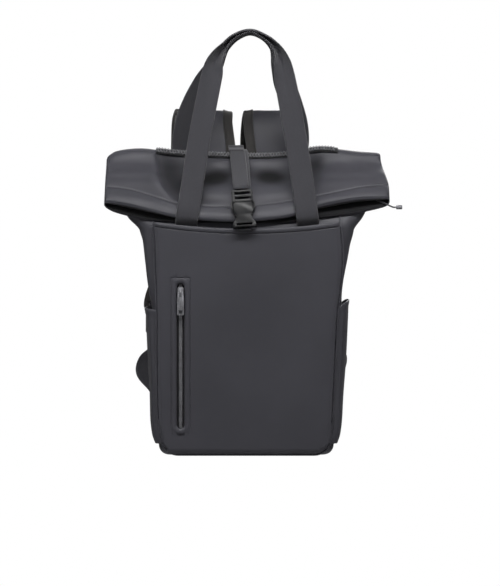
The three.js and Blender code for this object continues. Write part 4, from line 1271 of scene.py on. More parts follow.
def flap_relief(x, z, along, layer):
    """How far the flap's cloth stands off its plain shape: the table of soft folds, the wing's
    crease with its one sharp side, the hem's groove and its rolled edge."""
    folds = dents(x, z, FLAP_FOLDS)
    deep, past, step = crease_depth(x, z)
    folds += step + 0.35 * deep * np.exp(-((past / 5.0) ** 2))
    lying = smoothstep(along, 0.27, 0.36)
    edge = MOUTH + FLAP_DROP * read(FLAP, "outer", x / FLAP_HALF)
    over = z - edge
    hem = read(HEMS, "high", x / FLAP_HALF)
    groove = -HEM_GROOVE * np.exp(-(((over - hem) / 1.2) ** 2))
    turned = HEM_STEP * (1 - smoothstep(over, hem - 1.2, hem + 0.2))
    roll = HEM_SWELL * np.sin(np.pi * np.clip(over / hem, 0, 1)) ** 1.5
    tuck = -HEM_TUCK * (1 - smoothstep(over, 0, 4.5)) ** 2
    outer = smoothstep(layer, 0.2, 1.0)
    followed = np.maximum(outer, LOWER_SHARE * (folds < 0))
    return lying * (followed * folds + outer * (groove + turned + roll + tuck))


def roll_top_rings(along, inset):
    """Rings of the flat tube at the given shares of the way along it, and how deep each point
    lies in a fold, which paints shade into the cloth's colour."""
    right = RIGHT_TUCK + (1 - RIGHT_TUCK) * smoothstep(along, BEND, 0.8)
    ones = np.ones_like(along)
    flat = section(
        {"left": FLAP_HALF * ones, "right": FLAP_HALF * right, "front": -DUCT_HALF * ones,
         "back": DUCT_HALF * ones, "corner": DUCT_HALF * ones},
        inset, face=150, corner=5, side=2,
    )
    x, layer = flat[..., 0], flat[..., 1] / DUCT_HALF
    across = np.clip(x / FLAP_HALF, -1, 1)
    way = along[:, None] + 0 * x
    z = flap_point(across, way, layer)[1]
    stand = flap_relief(x, z, way, np.clip(layer / (1 - inset / DUCT_HALF), -1, 1))
    # Painted shade: the depth of the outer face's folds, kept off the lower skin and the fold,
    # makes the cloth's colour deeper.
    deep = np.clip(flap_shade_depth(x, z), -1, 1) * smoothstep(layer, -0.2, 0.4) * smoothstep(
        way, 0.2, 0.34)
    y, z = flap_point(across, way, layer, stand)
    return np.stack([x, y, z], -1), deep


def roll_top():
    """The folded top: rings of a flat tube along the outer skin from the rim over the fold to the
    mouth, and back along the inner skin, which is painted with the deepest hollows' shade:
    partly the darker uncoated back of the cloth and partly painted shadow inside the mouth."""
    hem_rows = np.linspace(0.76, 1, 34)
    outer = np.concatenate([np.linspace(0, BEND, 26)[:-1], np.linspace(BEND, 0.76, 34)[:-1],
                            hem_rows])
    inner = np.concatenate([np.linspace(1, 0.7, 16)[:-1], np.linspace(0.7, 0, 24)])
    rings, deep = roll_top_rings(outer, 0)
    inside = roll_top_rings(inner, CLOTH)[0]
    rings = np.concatenate([rings, inside])
    # Painted shade: the inner skin gets the deepest hollows' value, so the inside of the mouth is
    # coloured as if in shadow.
    deep = np.concatenate([deep, np.full(inside.shape[:2], -1.0)])
    skin = tube(rings, closed=True)
    obj = dressed("roll_top_cloth", skin, "coated", deep)
    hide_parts("roll_top")
    return obj


def hem_stitching():
    """The thread along the hem over the mouth, a row that follows the hem's groove."""
    x = np.linspace(-FLAP_HALF + 4, FLAP_HALF - 5, 300)
    across = x / FLAP_HALF
    top = fold_centre(across) + (FOLD_RADIUS + DUCT_HALF) * math.sin(BEND_ANGLE)
    edge = MOUTH + FLAP_DROP * read(FLAP, "outer", across)
    share = (edge + read(HEMS, "high", across) - top) / (edge - top)
    along = BEND + (1 - BEND) * share
    z = flap_point(across, along, 1.0)[1]
    y, z = flap_point(across, along, 1.0, flap_relief(x, z, along, 1.0 + 0 * x))
    at = np.stack([x, y, z], -1)
    return stitches("hem_stitching", [(at, (0, -1, 0.3))])


# Front pocket


# Soft swells and hollows of the front panel
PANEL_FOLDS = table(
    "x z wide high turn height",
    (40, 262, 70, 44, 12, 1.3),
    (-70, 290, 26, 22, 40, -0.7),
    (-20, 120, 80, 70, 0, -0.9),
    (96, 250, 18, 50, -6, -0.7),
    (60, 60, 50, 34, 10, 0.7),
    (112, 150, 12, 70, -3, 0.6),
)


PANEL_FACE = -BODY_DEPTH / 2 - PANEL_STAND


def panel_top(share):
    """The height of the panel's dipped top edge over its width."""
    return PANEL_TOP - PANEL_DIP * (1 - share**2)


def panel_lean(z):
    """How far the panel leans in towards its top edge."""
    return PANEL_LEAN * smoothstep(z, 0.86 * PANEL_TOP, PANEL_TOP)


def panel_point(share, rise):
    """A point of the front panel's inner face: share runs over its width from -1 to 1 and rise
    from its rounded foot to its dipped top edge. Its sides and foot curl in to the seam."""
    half = PANEL_HALF * np.where(share < 0, read(PANEL, "left", rise), read(PANEL, "right", rise))
    x = share * half
    edge = np.maximum(np.abs(x) - (half - PANEL_ROUND), 0)
    foot = PANEL_FOOT + PANEL_ROUND - np.sqrt(np.maximum(PANEL_ROUND**2 - edge**2, 0))
    z = foot + (panel_top(share) - foot) * rise
    curl = np.maximum(smoothstep(np.abs(share), 0.955, 1), 1 - smoothstep(rise, 0, 0.022))
    return x, PANEL_FACE + panel_lean(z) + (PANEL_STAND - EDGE_SEAT) * curl, z


def slit_distance(x, z):
    """How far a point lies outside the slit's round-ended outline, negative inside it."""
    radius = SLIT_WIDTH / 2
    low, high = SLIT_FOOT + radius, SLIT_FOOT + SLIT_HEIGHT - radius
    return np.hypot(x - SLIT_MIDDLE, z - np.clip(z, low, high)) - radius


FRAME_GAP = 6.6
SEAM_UNDER = 5.6
SEAM_DEEP = 0.8
PIPING_AWAY = 1.9
PIPING_SINK = 0.75


def panel_relief(x, z, share, rise):
    """How far the panel stands off its plain face: broad soft swells, the sewn frame round the
    slit with its puffed band, the slit's turned edge, and the rolled and stitched top edge."""
    gap = slit_distance(x, z)
    frame_x = np.abs(x - SLIT_MIDDLE) - SLIT_WIDTH / 2
    frame_z = np.abs(z - SLIT_FOOT - SLIT_HEIGHT / 2) - SLIT_HEIGHT / 2
    frame = np.maximum(frame_x, frame_z)
    groove = -0.75 * np.exp(-(((frame - FRAME_GAP) / 1.0) ** 2))
    band = 0.75 * np.sin(np.pi * np.clip(gap / FRAME_GAP, 0, 1)) * (frame < FRAME_GAP)
    turned = -1.1 * np.exp(-np.maximum(gap, 0) / 0.9)
    under = panel_top(share) - z
    lip = 1.3 * np.sqrt(np.clip(1 - ((under - 2.4) / 2.6) ** 2, 0, 1))
    seam = -SEAM_DEEP * np.exp(-(((under - SEAM_UNDER) / 0.9) ** 2))
    edge = smoothstep(1 - np.abs(share), 0.0, 0.12) * smoothstep(rise, 0, 0.06)
    return dents(x, z, PANEL_FOLDS) * edge + groove + band + turned + (lip + seam) * (
        1 - smoothstep(np.abs(share), 0.985, 1))


def denser(low, high, marks, fine, coarse):
    """Values from low to high, fine steps apart within the marks and coarse elsewhere."""
    values = [low]
    while values[-1] < high:
        near = any(a <= values[-1] < b for a, b in marks)
        values.append(values[-1] + (fine if near else coarse))
    values[-1] = high
    return np.array(values)


def front_panel():
    """The front pocket's panel: a grid over its width and height, its columns drawn straight
    beside the slit and its rows bent round the slit's ends, with the slit's cells left out."""
    half = SLIT_WIDTH / 2
    left, right = SLIT_MIDDLE - half, SLIT_MIDDLE + half
    beside = (left - FRAME_GAP - 2, right + FRAME_GAP + 2)
    x_lines = denser(-PANEL_HALF, PANEL_HALF, [beside, (-PANEL_HALF, -PANEL_HALF + 8),
                     (PANEL_HALF - 8, PANEL_HALF)], 0.9, 3.4)
    low, high = SLIT_FOOT, SLIT_FOOT + SLIT_HEIGHT
    z_lines = denser(PANEL_FOOT, PANEL_TOP, [(low - 9, low + 9), (high - 9, high + 9),
                     (PANEL_TOP - 10, PANEL_TOP), (PANEL_FOOT, PANEL_FOOT + 8)], 0.8, 4.0)
    for lines, values in ((x_lines, (left, right)), (z_lines, (low, high))):
        for value in values:
            lines[np.argmin(np.abs(lines - value))] = value
    share, height = np.meshgrid(x_lines / PANEL_HALF, z_lines, indexing="xy")
    rise = (height - PANEL_FOOT) / (PANEL_TOP - PANEL_FOOT)
    x, y, z = panel_point(share, rise)
    drift = share * PANEL_HALF - x
    near = 1 - smoothstep(np.abs(share * PANEL_HALF - SLIT_MIDDLE), 14, 30)
    x = x + drift * near
    z = z + (height - z) * near * smoothstep(rise, 0.02, 0.1) * (1 - smoothstep(rise, 0.84, 0.97))
    in_slit = np.clip(np.abs(x - SLIT_MIDDLE) / half, 0, 1)
    bend = half * (1 - np.sqrt(1 - in_slit**2))
    beyond = np.exp(-np.maximum(np.abs(x - SLIT_MIDDLE) - half, 0) / 3)
    for end, way in ((low, 1), (high, -1)):
        reach = np.exp(-((z - end) / 9) ** 2)
        z = z + way * bend * beyond * reach
    y = y - PANEL_WALL - panel_relief(x, z, share, rise)
    front = np.stack([x, y, z], -1)
    mid_x = (x_lines[1:] + x_lines[:-1]) / 2
    mid_z = (z_lines[1:] + z_lines[:-1]) / 2
    open_cells = ((mid_z > low) & (mid_z < high))[:, None] & ((mid_x > left) & (mid_x < right))
    skin = thick_sheet(front, PANEL_WALL, ~open_cells)
    obj = dressed("front_panel", skin, "coated")
    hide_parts("front_pocket")
    return obj


def panel_outline(offset, rise_top):
    """The front panel's edge from the top of its left side round its foot to the top of its
    right side, moved outwards by a distance in its own plane."""
    down = np.linspace(rise_top, 0.0, 90)[:-1]
    turn = np.linspace(-math.pi / 2, math.pi / 2, 161)
    share = np.concatenate([-np.ones_like(down), np.sin(turn), np.ones_like(down)])
    rise = np.concatenate([down, np.zeros_like(turn), down[::-1]])
    x, _, z = panel_point(share, rise)
    line = even_route(np.stack([x, 0 * x, z], -1), 2.0)[0]
    ahead = unit(np.gradient(line, axis=0))
    return line + offset * np.stack([ahead[:, 2], 0 * line[:, 0], -ahead[:, 0]], -1)


def round_rings(at, radius, count=10):
    """Rings of a round cord along a route."""
    wide, deep = frames_along(at, (0, 1, 0), False)
    turn = (np.arange(count) * (2 * math.pi / count))[None, :, None]
    return at[:, None] + radius * (
        np.cos(turn) * wide[:, None] + np.sin(turn) * deep[:, None])


def panel_piping():
    """Piping sewn in round the front panel: a round cord beside the panel's edge, which runs
    on up the seam of the neck at both ends and there sinks into it."""
    radius = bpy.context.scene.backpack.piping / MM / 2
    line = panel_outline(PIPING_AWAY, 0.985)
    face = np.minimum(-BODY_DEPTH / 2, body_size(line[:, 2])["front"])
    line[:, 1] = face - radius * PIPING_SINK
    return dressed("panel_piping", tube(round_rings(line, radius)), "coated")


def neck_seam():
    """The seams that run on from the front panel's top corners up the neck under the flap."""
    parts = []
    for side, column in ((-1, "left"), (1, "right")):
        z = np.linspace(PANEL_TOP - 7, PANEL_TOP + 28, 20)
        x = side * (PANEL_HALF * read(PANEL, column, 1.0) + PIPING_AWAY) * np.ones_like(z)
        y = body_size(z)["front"] - 0.7
        parts.append(tube(round_rings(np.stack([x, y, z], -1), 1.2, count=8)))
    return dressed("neck_seams", joined(parts), "coated")


def panel_stitching():
    """Thread under the panel's top edge and on the sewn frame round the slit."""
    share = np.linspace(-0.975, 0.975, 260)
    x = panel_point(share, 1.0)[0]
    z = panel_top(share) - SEAM_UNDER
    stand = PANEL_WALL + dents(x, z, PANEL_FOLDS) - SEAM_DEEP
    top = np.stack([x, PANEL_FACE + panel_lean(z) - stand, z], -1)
    half = SLIT_WIDTH / 2 + FRAME_GAP
    low, high = SLIT_FOOT - FRAME_GAP, SLIT_FOOT + SLIT_HEIGHT + FRAME_GAP
    corners = np.array([(-half, low), (-half, high), (half, high), (half, low), (-half, low)])
    routes = [(top, (0, -1, 0))]
    for a, b in zip(corners[:-1], corners[1:]):
        edge = a + (b - a) * np.linspace(0.0, 1, 120)[:, None]
        x, z = edge[:, 0] + SLIT_MIDDLE, edge[:, 1]
        y = PANEL_FACE - PANEL_WALL - dents(x, z, PANEL_FOLDS) + 0.7
        routes.append((np.stack([x, y, z], -1), (0, -1, 0)))
    return stitches("panel_stitching", routes)


TAPE_BEYOND = 3.6
TAPE_CORNER = 4.0
COIL_HALF = 2.6


def pocket_zip():
    """The tape behind the slit, a thin plate with round ends, and on it the closed coil: a
    double bead whose height follows the turns, one side half a turn behind the other."""
    back = -BODY_DEPTH / 2 - SEAT
    room = PANEL_STAND - 2 * SEAT
    tape = 0.6 * room
    turn = np.linspace(0, 2 * math.pi, 49)[:-1]
    middle_z = SLIT_FOOT + SLIT_HEIGHT / 2
    half, tall = (v / 2 + TAPE_BEYOND - TAPE_CORNER for v in (SLIT_WIDTH, SLIT_HEIGHT))
    x = np.clip(np.cos(turn) * 40, -half, half) + TAPE_CORNER * np.cos(turn)
    z = np.clip(np.sin(turn) * 4000, -tall, tall) + TAPE_CORNER * np.sin(turn)
    rings = [
        np.stack([SLIT_MIDDLE + x * k, 0 * x + y, middle_z + z * k], -1)
        for k, y in ((0.97, back), (1.0, back - 0.2), (1.0, back - tape + 0.2), (0.97, back - tape))
    ]
    points, faces, _ = tube(rings)
    skin = points, faces, points[:, [0, 2]] * MM
    plate = dressed("pocket_zip_tape", skin, "tape")
    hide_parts("pocket_zip")

    pitch = bpy.context.scene.backpack.coil_pitch / MM
    run = SLIT_HEIGHT - 4
    z = np.linspace(-run / 2, run / 2, int(run / pitch * 5))[:, None]
    u = np.linspace(-1, 1, 15)[None, :]
    turns = 0.5 + 0.5 * np.cos(2 * math.pi * z / pitch + np.where(u < 0, 0, math.pi))
    lobes = np.abs(np.sin(math.pi * u)) ** 0.7
    valley = 1 - np.exp(-((u / 0.12) ** 2))
    high = 0.3 + (0.75 + 0.55 * turns) * lobes * valley
    high = high * (1 - smoothstep(np.abs(u), 0.85, 1.0)) + 0.02
    grid = np.stack(
        [SLIT_MIDDLE + COIL_HALF * u + 0 * z, back - tape - high, middle_z + z + 0 * u], -1)
    base = grid.copy()
    base[..., 1] = back - tape - 0.01
    ring = np.concatenate([grid, base[:, ::-1][:, 1:-1]], 1)
    return dressed("pocket_zip_coil", tube(ring), "teeth")


def softened(node, name, kind, width, body=BAG):
    """A hard piece with its edges rounded: a copy of the solid with its doubles merged and its
    sharp edges bevelled by a width in millimetres."""
    mesh = frame["nodes"][node].data.copy()
    mesh.name = name
    work = bmesh.new()
    work.from_mesh(mesh)
    bmesh.ops.remove_doubles(work, verts=work.verts, dist=0.00002)
    bmesh.ops.dissolve_limit(work, angle_limit=math.radians(1.0), verts=work.verts,
                             edges=work.edges)
    bmesh.ops.triangulate(work, faces=[f for f in work.faces if len(f.verts) > 4])
    work.to_mesh(mesh)
    work.free()
    mesh.materials.clear()
    obj = bpy.data.objects.new(name, mesh)
    bpy.context.collection.objects.link(obj)
    bevel = obj.modifiers.new("rounded edges", "BEVEL")
    bevel.width = width * MM
    bevel.segments = 2
    bevel.limit_method = "ANGLE"
    bevel.angle_limit = math.radians(32)
    bevel.harden_normals = True
    shade_smooth(mesh)
    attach(obj, body)
    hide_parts(node)
    return finish_with(obj, finish(kind))


def zip_pull():
    """The metal slider and the tab that hangs on its bridge."""
    softened("pocket_zip_slider", "zip_slider", "metal", 0.35)
    return softened("pocket_pull_tab", "zip_tab", "metal", 0.3, TAB)


# Side pockets


# The side pockets' folds, where x and wide are shares of the way round the gusset
POCKET_FOLDS = {
    -1: table(
        "x z wide high turn height",
        (0.16, 150, 0.07, 60, 0, 1.3),
        (0.3, 120, 0.08, 80, 0, -1.1),
        (0.46, 150, 0.1, 60, 0, 1.2),
        (0.62, 110, 0.09, 70, 0, -1.0),
        (0.8, 140, 0.08, 70, 0, 1.1),
        (0.5, 50, 0.4, 30, 0, 1.5),
    ),
    1: table(
        "x z wide high turn height",
        (0.14, 140, 0.06, 70, 0, 1.5),
        (0.26, 160, 0.07, 60, 0, -1.4),
        (0.4, 130, 0.09, 70, 0, 1.4),
        (0.6, 120, 0.1, 70, 0, -1.0),
        (0.78, 140, 0.08, 70, 0, 1.2),
        (0.5, 50, 0.4, 30, 0, 1.4),
    ),
}
POCKET_HEM = 8


def side_pocket(name, side, rise_of_lip):
    """A pocket on the gusset: a sheet that follows the gusset's rounded outline from the front
    seam to the back one, stands away from it towards its lip, and ends in a hem."""
    share, rise = np.meshgrid(np.linspace(0, 1, 70), np.linspace(0, 1, 80), indexing="xy")
    lip = POCKET_LIP + rise_of_lip * np.sin(np.pi * share) ** 0.7
    z = POCKET_FOOT + (lip - POCKET_FOOT) * rise
    at = body_size(z)
    wall = at["left"] if side < 0 else at["right"]
    corner = at["corner"]
    angle = (-0.3 + 0.56 * share) * math.pi
    long = BODY_DEPTH / 2 - corner
    x = wall - corner + corner * np.cos(angle)
    y = -long + 2 * long * smoothstep(share, 0.25, 0.75) + corner * np.sin(angle)
    swell = np.sin(np.pi * share)
    stand = SEAT + 1.2 + POCKET_STAND * swell**1.3 * rise**1.6 + 1.2 * swell
    under = lip - z
    hem = 0.7 * (1 - smoothstep(under, POCKET_HEM - 0.6, POCKET_HEM + 0.6))
    groove = -0.5 * np.exp(-(((under - POCKET_HEM - 0.4) / 0.8) ** 2))
    roll = 0.5 * np.exp(-(((under - 1.6) / 1.4) ** 2))
    folds = dents(share, z, POCKET_FOLDS[side]) * swell * smoothstep(under, 0, 30)
    stand = stand + POCKET_WALL + hem + groove + roll + folds
    ways = np.stack([side * np.cos(angle), np.sin(angle), 0 * angle], -1)
    skin = np.stack([side * x, y, z], -1)
    outer = skin + ways * stand[..., None]
    if side > 0:
        outer = outer[:, ::-1]
    sheet = thick_sheet(outer[:, ::-1], POCKET_WALL)
    obj = dressed(f"{name}_cloth", sheet, "coated")
    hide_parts(name)
    row = np.argmin(np.abs(under[:, 35] - POCKET_HEM - 0.4))
    return skin[row] + ways[row] * (stand[row] - 0.1)[:, None], ways[row]


def side_pockets():
    """Both side pockets and the thread of their hems."""
    routes = [side_pocket("side_pocket_left", -1, 3), side_pocket("side_pocket_right", 1, 15)]
    stitches("side_pocket_stitching", routes)


# Webbing


def strap_outline(half, thick, fold):
    """Outlines of a woven strap, one for each row: a flat strip with round selvedges, bent
    about its middle line by each row's fold, from 0, flat, to 1, both halves together with
    their edges to the front. Each half turns by up to nearly a right angle and bows a
    little, and the strip has its thickness to both sides of that line. The first coordinate
    runs over the width and the other to the back."""
    s = np.linspace(-1, 1, 13)[None, :]
    fold = fold[:, None]
    away = np.sqrt(s**2 + 0.008) - math.sqrt(0.008)
    turn = fold * math.radians(86)
    bow = 3.0 * fold * np.sin(np.pi * np.abs(s)) ** 0.8
    w = np.sign(s) * (half * away * np.cos(turn) + bow)
    n = fold * half / 2 - half * away * np.sin(turn)
    line = np.stack([w, n], -1)
    ahead = unit(np.gradient(line, axis=1))
    side = np.stack([-ahead[..., 1], ahead[..., 0]], -1)
    deep = thick / 2
    front, back = line - side * deep, line + side * deep
    tip = 0.8 * deep
    first = line[:, :1] - ahead[:, :1] * tip
    last = line[:, -1:] + ahead[:, -1:] * tip
    return np.concatenate([front, last, back[:, ::-1], first], 1)


def strap_rings(at, wide, deep, outline):
    """Rings of a strap: the outline's two coordinates along its width and thickness."""
    return at[:, None] + outline[..., :1] * wide[:, None] + outline[..., 1:] * deep[:, None]


def webbing(name, points, half, thick, steps, node=None, fold=None):
    """A woven strap along a smooth route through the points. It keeps its width level, or
    where it is folded lengthwise, its thickness in depth."""
    at, t = smooth_route(points, steps)
    if fold is None:
        wide, deep = frames_along(at, (1, 0, 0), True)
        fold = np.zeros(len(points))
    else:
        wide, deep = frames_along(at, (0, 1, 0), False)
    if deep[len(deep) // 2, 1] < 0:
        deep = -deep
    outline = strap_outline(half, thick, np.interp(t, np.arange(len(points)), fold))
    obj = dressed(name, tube(strap_rings(at, wide, deep, outline)), "webbing")
    if node:
        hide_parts(node)
    return obj


def handle(name, rows, spread, seam, seam_y, top_y, node):
    """A carry handle: its route's shares give the place of each point, and the fold rises
    where the webbing doesn't lie flat."""
    points = np.stack([
        rows["out"] * spread,
        top_y + (seam_y - top_y) * rows["reach"],
        seam + rows["up"] * (HANDLE_TOP - seam),
    ], -1)
    return webbing(name, points, WEB_WIDTH / 2 - 0.4, WEB, 8, node, 1 - rows["flat"])


def handles():
    """Both carry handles, side by side where they hang."""
    front_y = -BODY_DEPTH / 2 - SEAT - WEB / 2
    handle("front_carry_handle", FRONT_HANDLE, FRONT_SPREAD, PANEL_TOP, front_y, 0,
           "front_handle")
    rear_y = float(body_size(LEG_FOOT)["back"]) + SEAT + WEB / 2
    handle("rear_carry_handle", REAR_HANDLE, REAR_SPREAD, BACK_TOP, rear_y,
           WEB_WIDTH / 2 + SEAT, "rear_handle")


# Padding


def mesh_points(mesh):
    """A mesh's points in metres, as one array."""
    flat = np.empty(len(mesh.vertices) * 3, np.float32)
    mesh.vertices.foreach_get("co", flat)
    return flat.reshape(-1, 3).astype(float)


def swollen(obj, voxel, cap, held):
    """Filled cloth: the piece is remeshed in even cells and blown up from within as cloth,
    without gravity, for twenty frames. held says for points in millimetres which are sewn
    down and stay, and no other moves further than the cap."""
    scene = bpy.context.scene
    remesh = obj.modifiers.new("even cells", "REMESH")
    remesh.mode = "VOXEL"
    remesh.voxel_size = voxel * MM
    graph = bpy.context.evaluated_depsgraph_get()
    even = bpy.data.meshes.new_from_object(obj.evaluated_get(graph))
    obj.modifiers.clear()
    obj.data = even
    start = mesh_points(even)
    sewn = obj.vertex_groups.new(name="sewn")
    sewn.add(np.flatnonzero(held(start / MM - BASE)).tolist(), 1.0, "REPLACE")
    cloth = obj.modifiers.new("filling", "CLOTH")
    cloth.settings.vertex_group_mass = sewn.name
    cloth.settings.use_pressure = True
    cloth.settings.uniform_pressure_force = 4.0
    cloth.settings.effector_weights.gravity = 0
    for number in range(1, 21):
        scene.frame_set(number)
    graph = bpy.context.evaluated_depsgraph_get()
    move = mesh_points(obj.evaluated_get(graph).data) - start
    long = np.linalg.norm(move, axis=1, keepdims=True)
    move *= np.minimum(1, cap * MM / np.maximum(long, 1e-9))
    obj.modifiers.remove(cloth)
    even.vertices.foreach_set("co", (start + move).astype(np.float32).ravel())
    even.update()
    shade_smooth(even)
    scene.frame_set(1)
    finer = obj.modifiers.new("finer", "SUBSURF")
    finer.levels = finer.render_levels = 1
    return obj


def two_faced(obj, at, deep, first, second):
    """Gives a padded strip its two cloths: first on the side that deep points away from."""
    mesh = obj.data
    mesh.materials.clear()
    finish_with(obj, first, second)
    centre = np.empty(len(mesh.polygons) * 3, np.float32)
    mesh.polygons.foreach_get("center", centre)
    centre = centre.reshape(-1, 3) / MM - BASE
    near = np.argmin(np.linalg.norm(centre[:, None] - at[None], axis=2), axis=1)
    side = np.sum((centre - at[near]) * deep[near], axis=1)
    mesh.polygons.foreach_set("material_index", (side > 0).astype(np.int32))
    return obj


def back_face(z):
    """The depth of the back panel's inner face, which leaves room for the rear handle."""
    return body_size(np.minimum(z, LEG_FOOT))["back"] + 2 * SEAT + WEB


BACK_CORNER = 24
BACK_SEAMS = (150, 262)
SEAM_SLOPE = 0.12
BACK_RIM = 9
PAD_VOXEL = 4.5


def back_flank(rise):
    """The back panel's half width, which is narrower at its foot."""
    return BACK_HALF * (BACK_NARROW + (1 - BACK_NARROW) * smoothstep(rise, 0.15, 0.4))


def back_outline(share, rise):
    """A point of the back panel in its own plane, whose corners are round."""
    edge = np.maximum(np.abs(share) * BACK_HALF - (BACK_HALF - BACK_CORNER), 0)
    cut = BACK_CORNER - np.sqrt(np.maximum(BACK_CORNER**2 - edge**2, 0))
    z = BACK_FOOT + cut + (BACK_TOP - BACK_FOOT - 2 * cut) * rise
    return share * back_flank(rise), z


def back_panel():
    """The padded back: a pad with a thin rim, sewn down along its rim, along a channel up its
    middle and along two seams across, and filled between them."""
    share, rise = np.meshgrid(np.linspace(-1, 1, 61), np.linspace(0, 1, 81), indexing="xy")
    x, z = back_outline(share, rise)
    room = np.minimum((1 - np.abs(share)) * BACK_HALF, np.minimum(rise, 1 - rise) * BACK_TOP)
    full = 0.35 + 0.65 * smoothstep(room, 0, 14)
    groove = np.exp(-((x / 7) ** 2))
    for seam in BACK_SEAMS:
        off = z - seam - SEAM_SLOPE * np.abs(x)
        groove = np.maximum(groove, np.exp(-((off / 6) ** 2)))
    inner = back_face(z)
    outer = inner + BACK_PAD * full * (1 - 0.5 * groove)
    ring = np.concatenate([np.stack([x, outer, z], -1), np.stack([x, inner, z], -1)[:, ::-1]], 1)
    points, faces, uv = tube(ring)
    obj = new_piece("back_padding", points, faces, uv=uv)

    def sewn(p):
        x, y, z = p.T
        flank = back_flank((z - BACK_FOOT) / (BACK_TOP - BACK_FOOT))
        rim = np.minimum(flank - np.abs(x), np.minimum(z - BACK_FOOT, BACK_TOP - z)) < BACK_RIM
        under = y < back_face(z) + 2.2
        seams = np.abs(x) < 5
        for seam in BACK_SEAMS:
            seams |= np.abs(z - seam - SEAM_SLOPE * np.abs(x)) < 4
        return rim | under | seams

    swollen(obj, PAD_VOXEL, 5.0, sewn)
    obj.data.materials.clear()
    finish_with(obj, finish("padding"))
    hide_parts("back_panel")

    turn = np.linspace(0, 1, 60)[:-1]
    run = np.concatenate([
        np.stack([2 * turn - 1, 0 * turn], 1), np.stack([1 + 0 * turn, turn], 1),
        np.stack([1 - 2 * turn, 1 + 0 * turn], 1), np.stack([-1 + 0 * turn, 1 - turn], 1),
    ])
    x, z = back_outline(run[:, 0], run[:, 1])
    line = np.stack([x, back_face(z) + 0.36 * BACK_PAD, z], -1)
    line = even_route(np.concatenate([line, line[:1]]), 4.0)[0][:-1]
    points, faces, _ = tube(closed_rings(line, 1.9, 1.5), closed=True)
    dressed("back_binding", (points, faces, None), "padding")
    return obj


def closed_rings(line, wide, deep):
    """Rings of a flattened cord round a closed line that lies in a plane facing the back."""
    ahead = unit(np.roll(line, -1, 0) - np.roll(line, 1, 0))
    out = unit(np.cross(ahead, [0, 1.0, 0]))
    turn = np.arange(10) * (2 * math.pi / 10)
    ring = (np.cos(turn)[None, :, None] * out[:, None] * wide
            + np.sin(turn)[None, :, None] * np.array([0, deep, 0]))
    return line[:, None] + ring


# Shoulder straps


BOUND = 11
TURN_SHARE = 0.22
BINDING_OVER = 1.25


def strap_route(side):
    """A padded strap's route, its directions, half width and half thickness along it."""
    root = float(back_face(STRAP_ROOT)) + BACK_PAD + SEAT + STRAP_THICK / 2
    points = np.stack([
        side * STRAP["out"] * STRAP_SPREAD - STRAP_SWAY * STRAP["sway"],
        root + STRAP_REACH * STRAP["aft"],
        STRAP_ROOT + STRAP["up"] * (STRAP_TOP - STRAP_ROOT),
    ], -1)
    at, t = smooth_route(points, 9)
    wide, deep = frames_along(at, (1, 0, 0), True)
    rows = np.arange(len(points))
    half = STRAP_WIDTH / 2 * np.interp(t, rows, STRAP["wide"])
    thick = STRAP_THICK / 2 * np.interp(t, rows, STRAP["thick"])
    return at, wide, deep, half, thick


def pad_height(from_edge, thick):
    """Half the pad's thickness at a distance from its bound edge."""
    return thick * (0.3 + 0.7 * smoothstep(from_edge, 0, 17))


def shoulder_strap(name, side, node):
    """A padded strap: a strip that is thin at its two bound edges and full between them, with
    coated cloth outside and knit inside, and a ribbed binding folded round each edge."""
    at, wide, deep, half, thick = strap_route(side)
    s = np.linspace(-1, 1, 31)[None, :]
    w = half[:, None] * s
    n = pad_height(half[:, None] * (1 - np.abs(s)), thick[:, None])
    outline = np.concatenate([np.stack([w, -n], -1), np.stack([w, n], -1)[:, ::-1]], 1)
    points, faces, uv = tube(strap_rings(at, wide, deep, outline))
    obj = new_piece(f"{name}_pad", points, faces, uv=uv)

    def sewn(p):
        near = np.argmin(np.linalg.norm(p[:, None] - at[None], axis=2), axis=1)
        off = np.abs(np.sum((p - at[near]) * wide[near], axis=1))
        ends = (near < 4) | (near > len(at) - 12)
        return (off > half[near] - BOUND) | ends

    swollen(obj, PAD_VOXEL, 1.6, sewn)
    two_faced(obj, at, deep, finish("coated"), finish("padding"))
    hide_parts(node)

    parts, seams = [], []
    u = np.linspace(-1, 1, 27)[None, :]
    over = np.clip((np.abs(u) - TURN_SHARE) / (1 - TURN_SHARE), 0, 1)
    turn = np.clip(u / TURN_SHARE, -1, 1) * math.pi / 2
    for edge in (-1, 1):
        flat = np.minimum(BOUND, 0.36 * half)[:, None] * over
        stand = pad_height(flat, thick[:, None]) + BINDING_OVER
        w = edge * (half[:, None] - flat + stand * np.cos(turn) * (over == 0))
        n = np.where(over > 0, np.sign(u) * stand, stand * np.sin(turn))
        grid = strap_rings(at, wide, deep, np.stack([w, n], -1))
        outward = np.sum(grid_normals(grid) * (grid - at[:, None]))
        points, faces, uv = thick_sheet(grid, 1.0 * np.sign(outward))
        parts.append((points, faces.tolist(), uv))
        seams += [(grid[:, 2], -deep), (grid[:, -3], deep)]
    dressed(f"{name}_binding", joined(parts), "binding")
    for row in (8, 14):
        span = np.linspace(-0.62, 0.62, 60)[:, None] * half[row]
        line = at[row] + wide[row] * span + deep[row] * (thick[row] + 1.5)
        seams.append((line, deep[row]))
    stitches(f"{name}_stitching", seams, drop=0.1)
    return obj


def shoulder_straps():
    """Both padded straps, which arch up and back from the top of the back panel."""
    shoulder_strap("left_strap", -1, "shoulder_strap_left")
    shoulder_strap("right_strap", 1, "shoulder_strap_right")


def lock_centre(side):
    """The middle of the adjuster that hangs under a padded strap's end."""
    end = strap_route(side)[0][-1]
    return end - [0, 0, LOCK_HEIGHT / 2 + HANG_GAP]


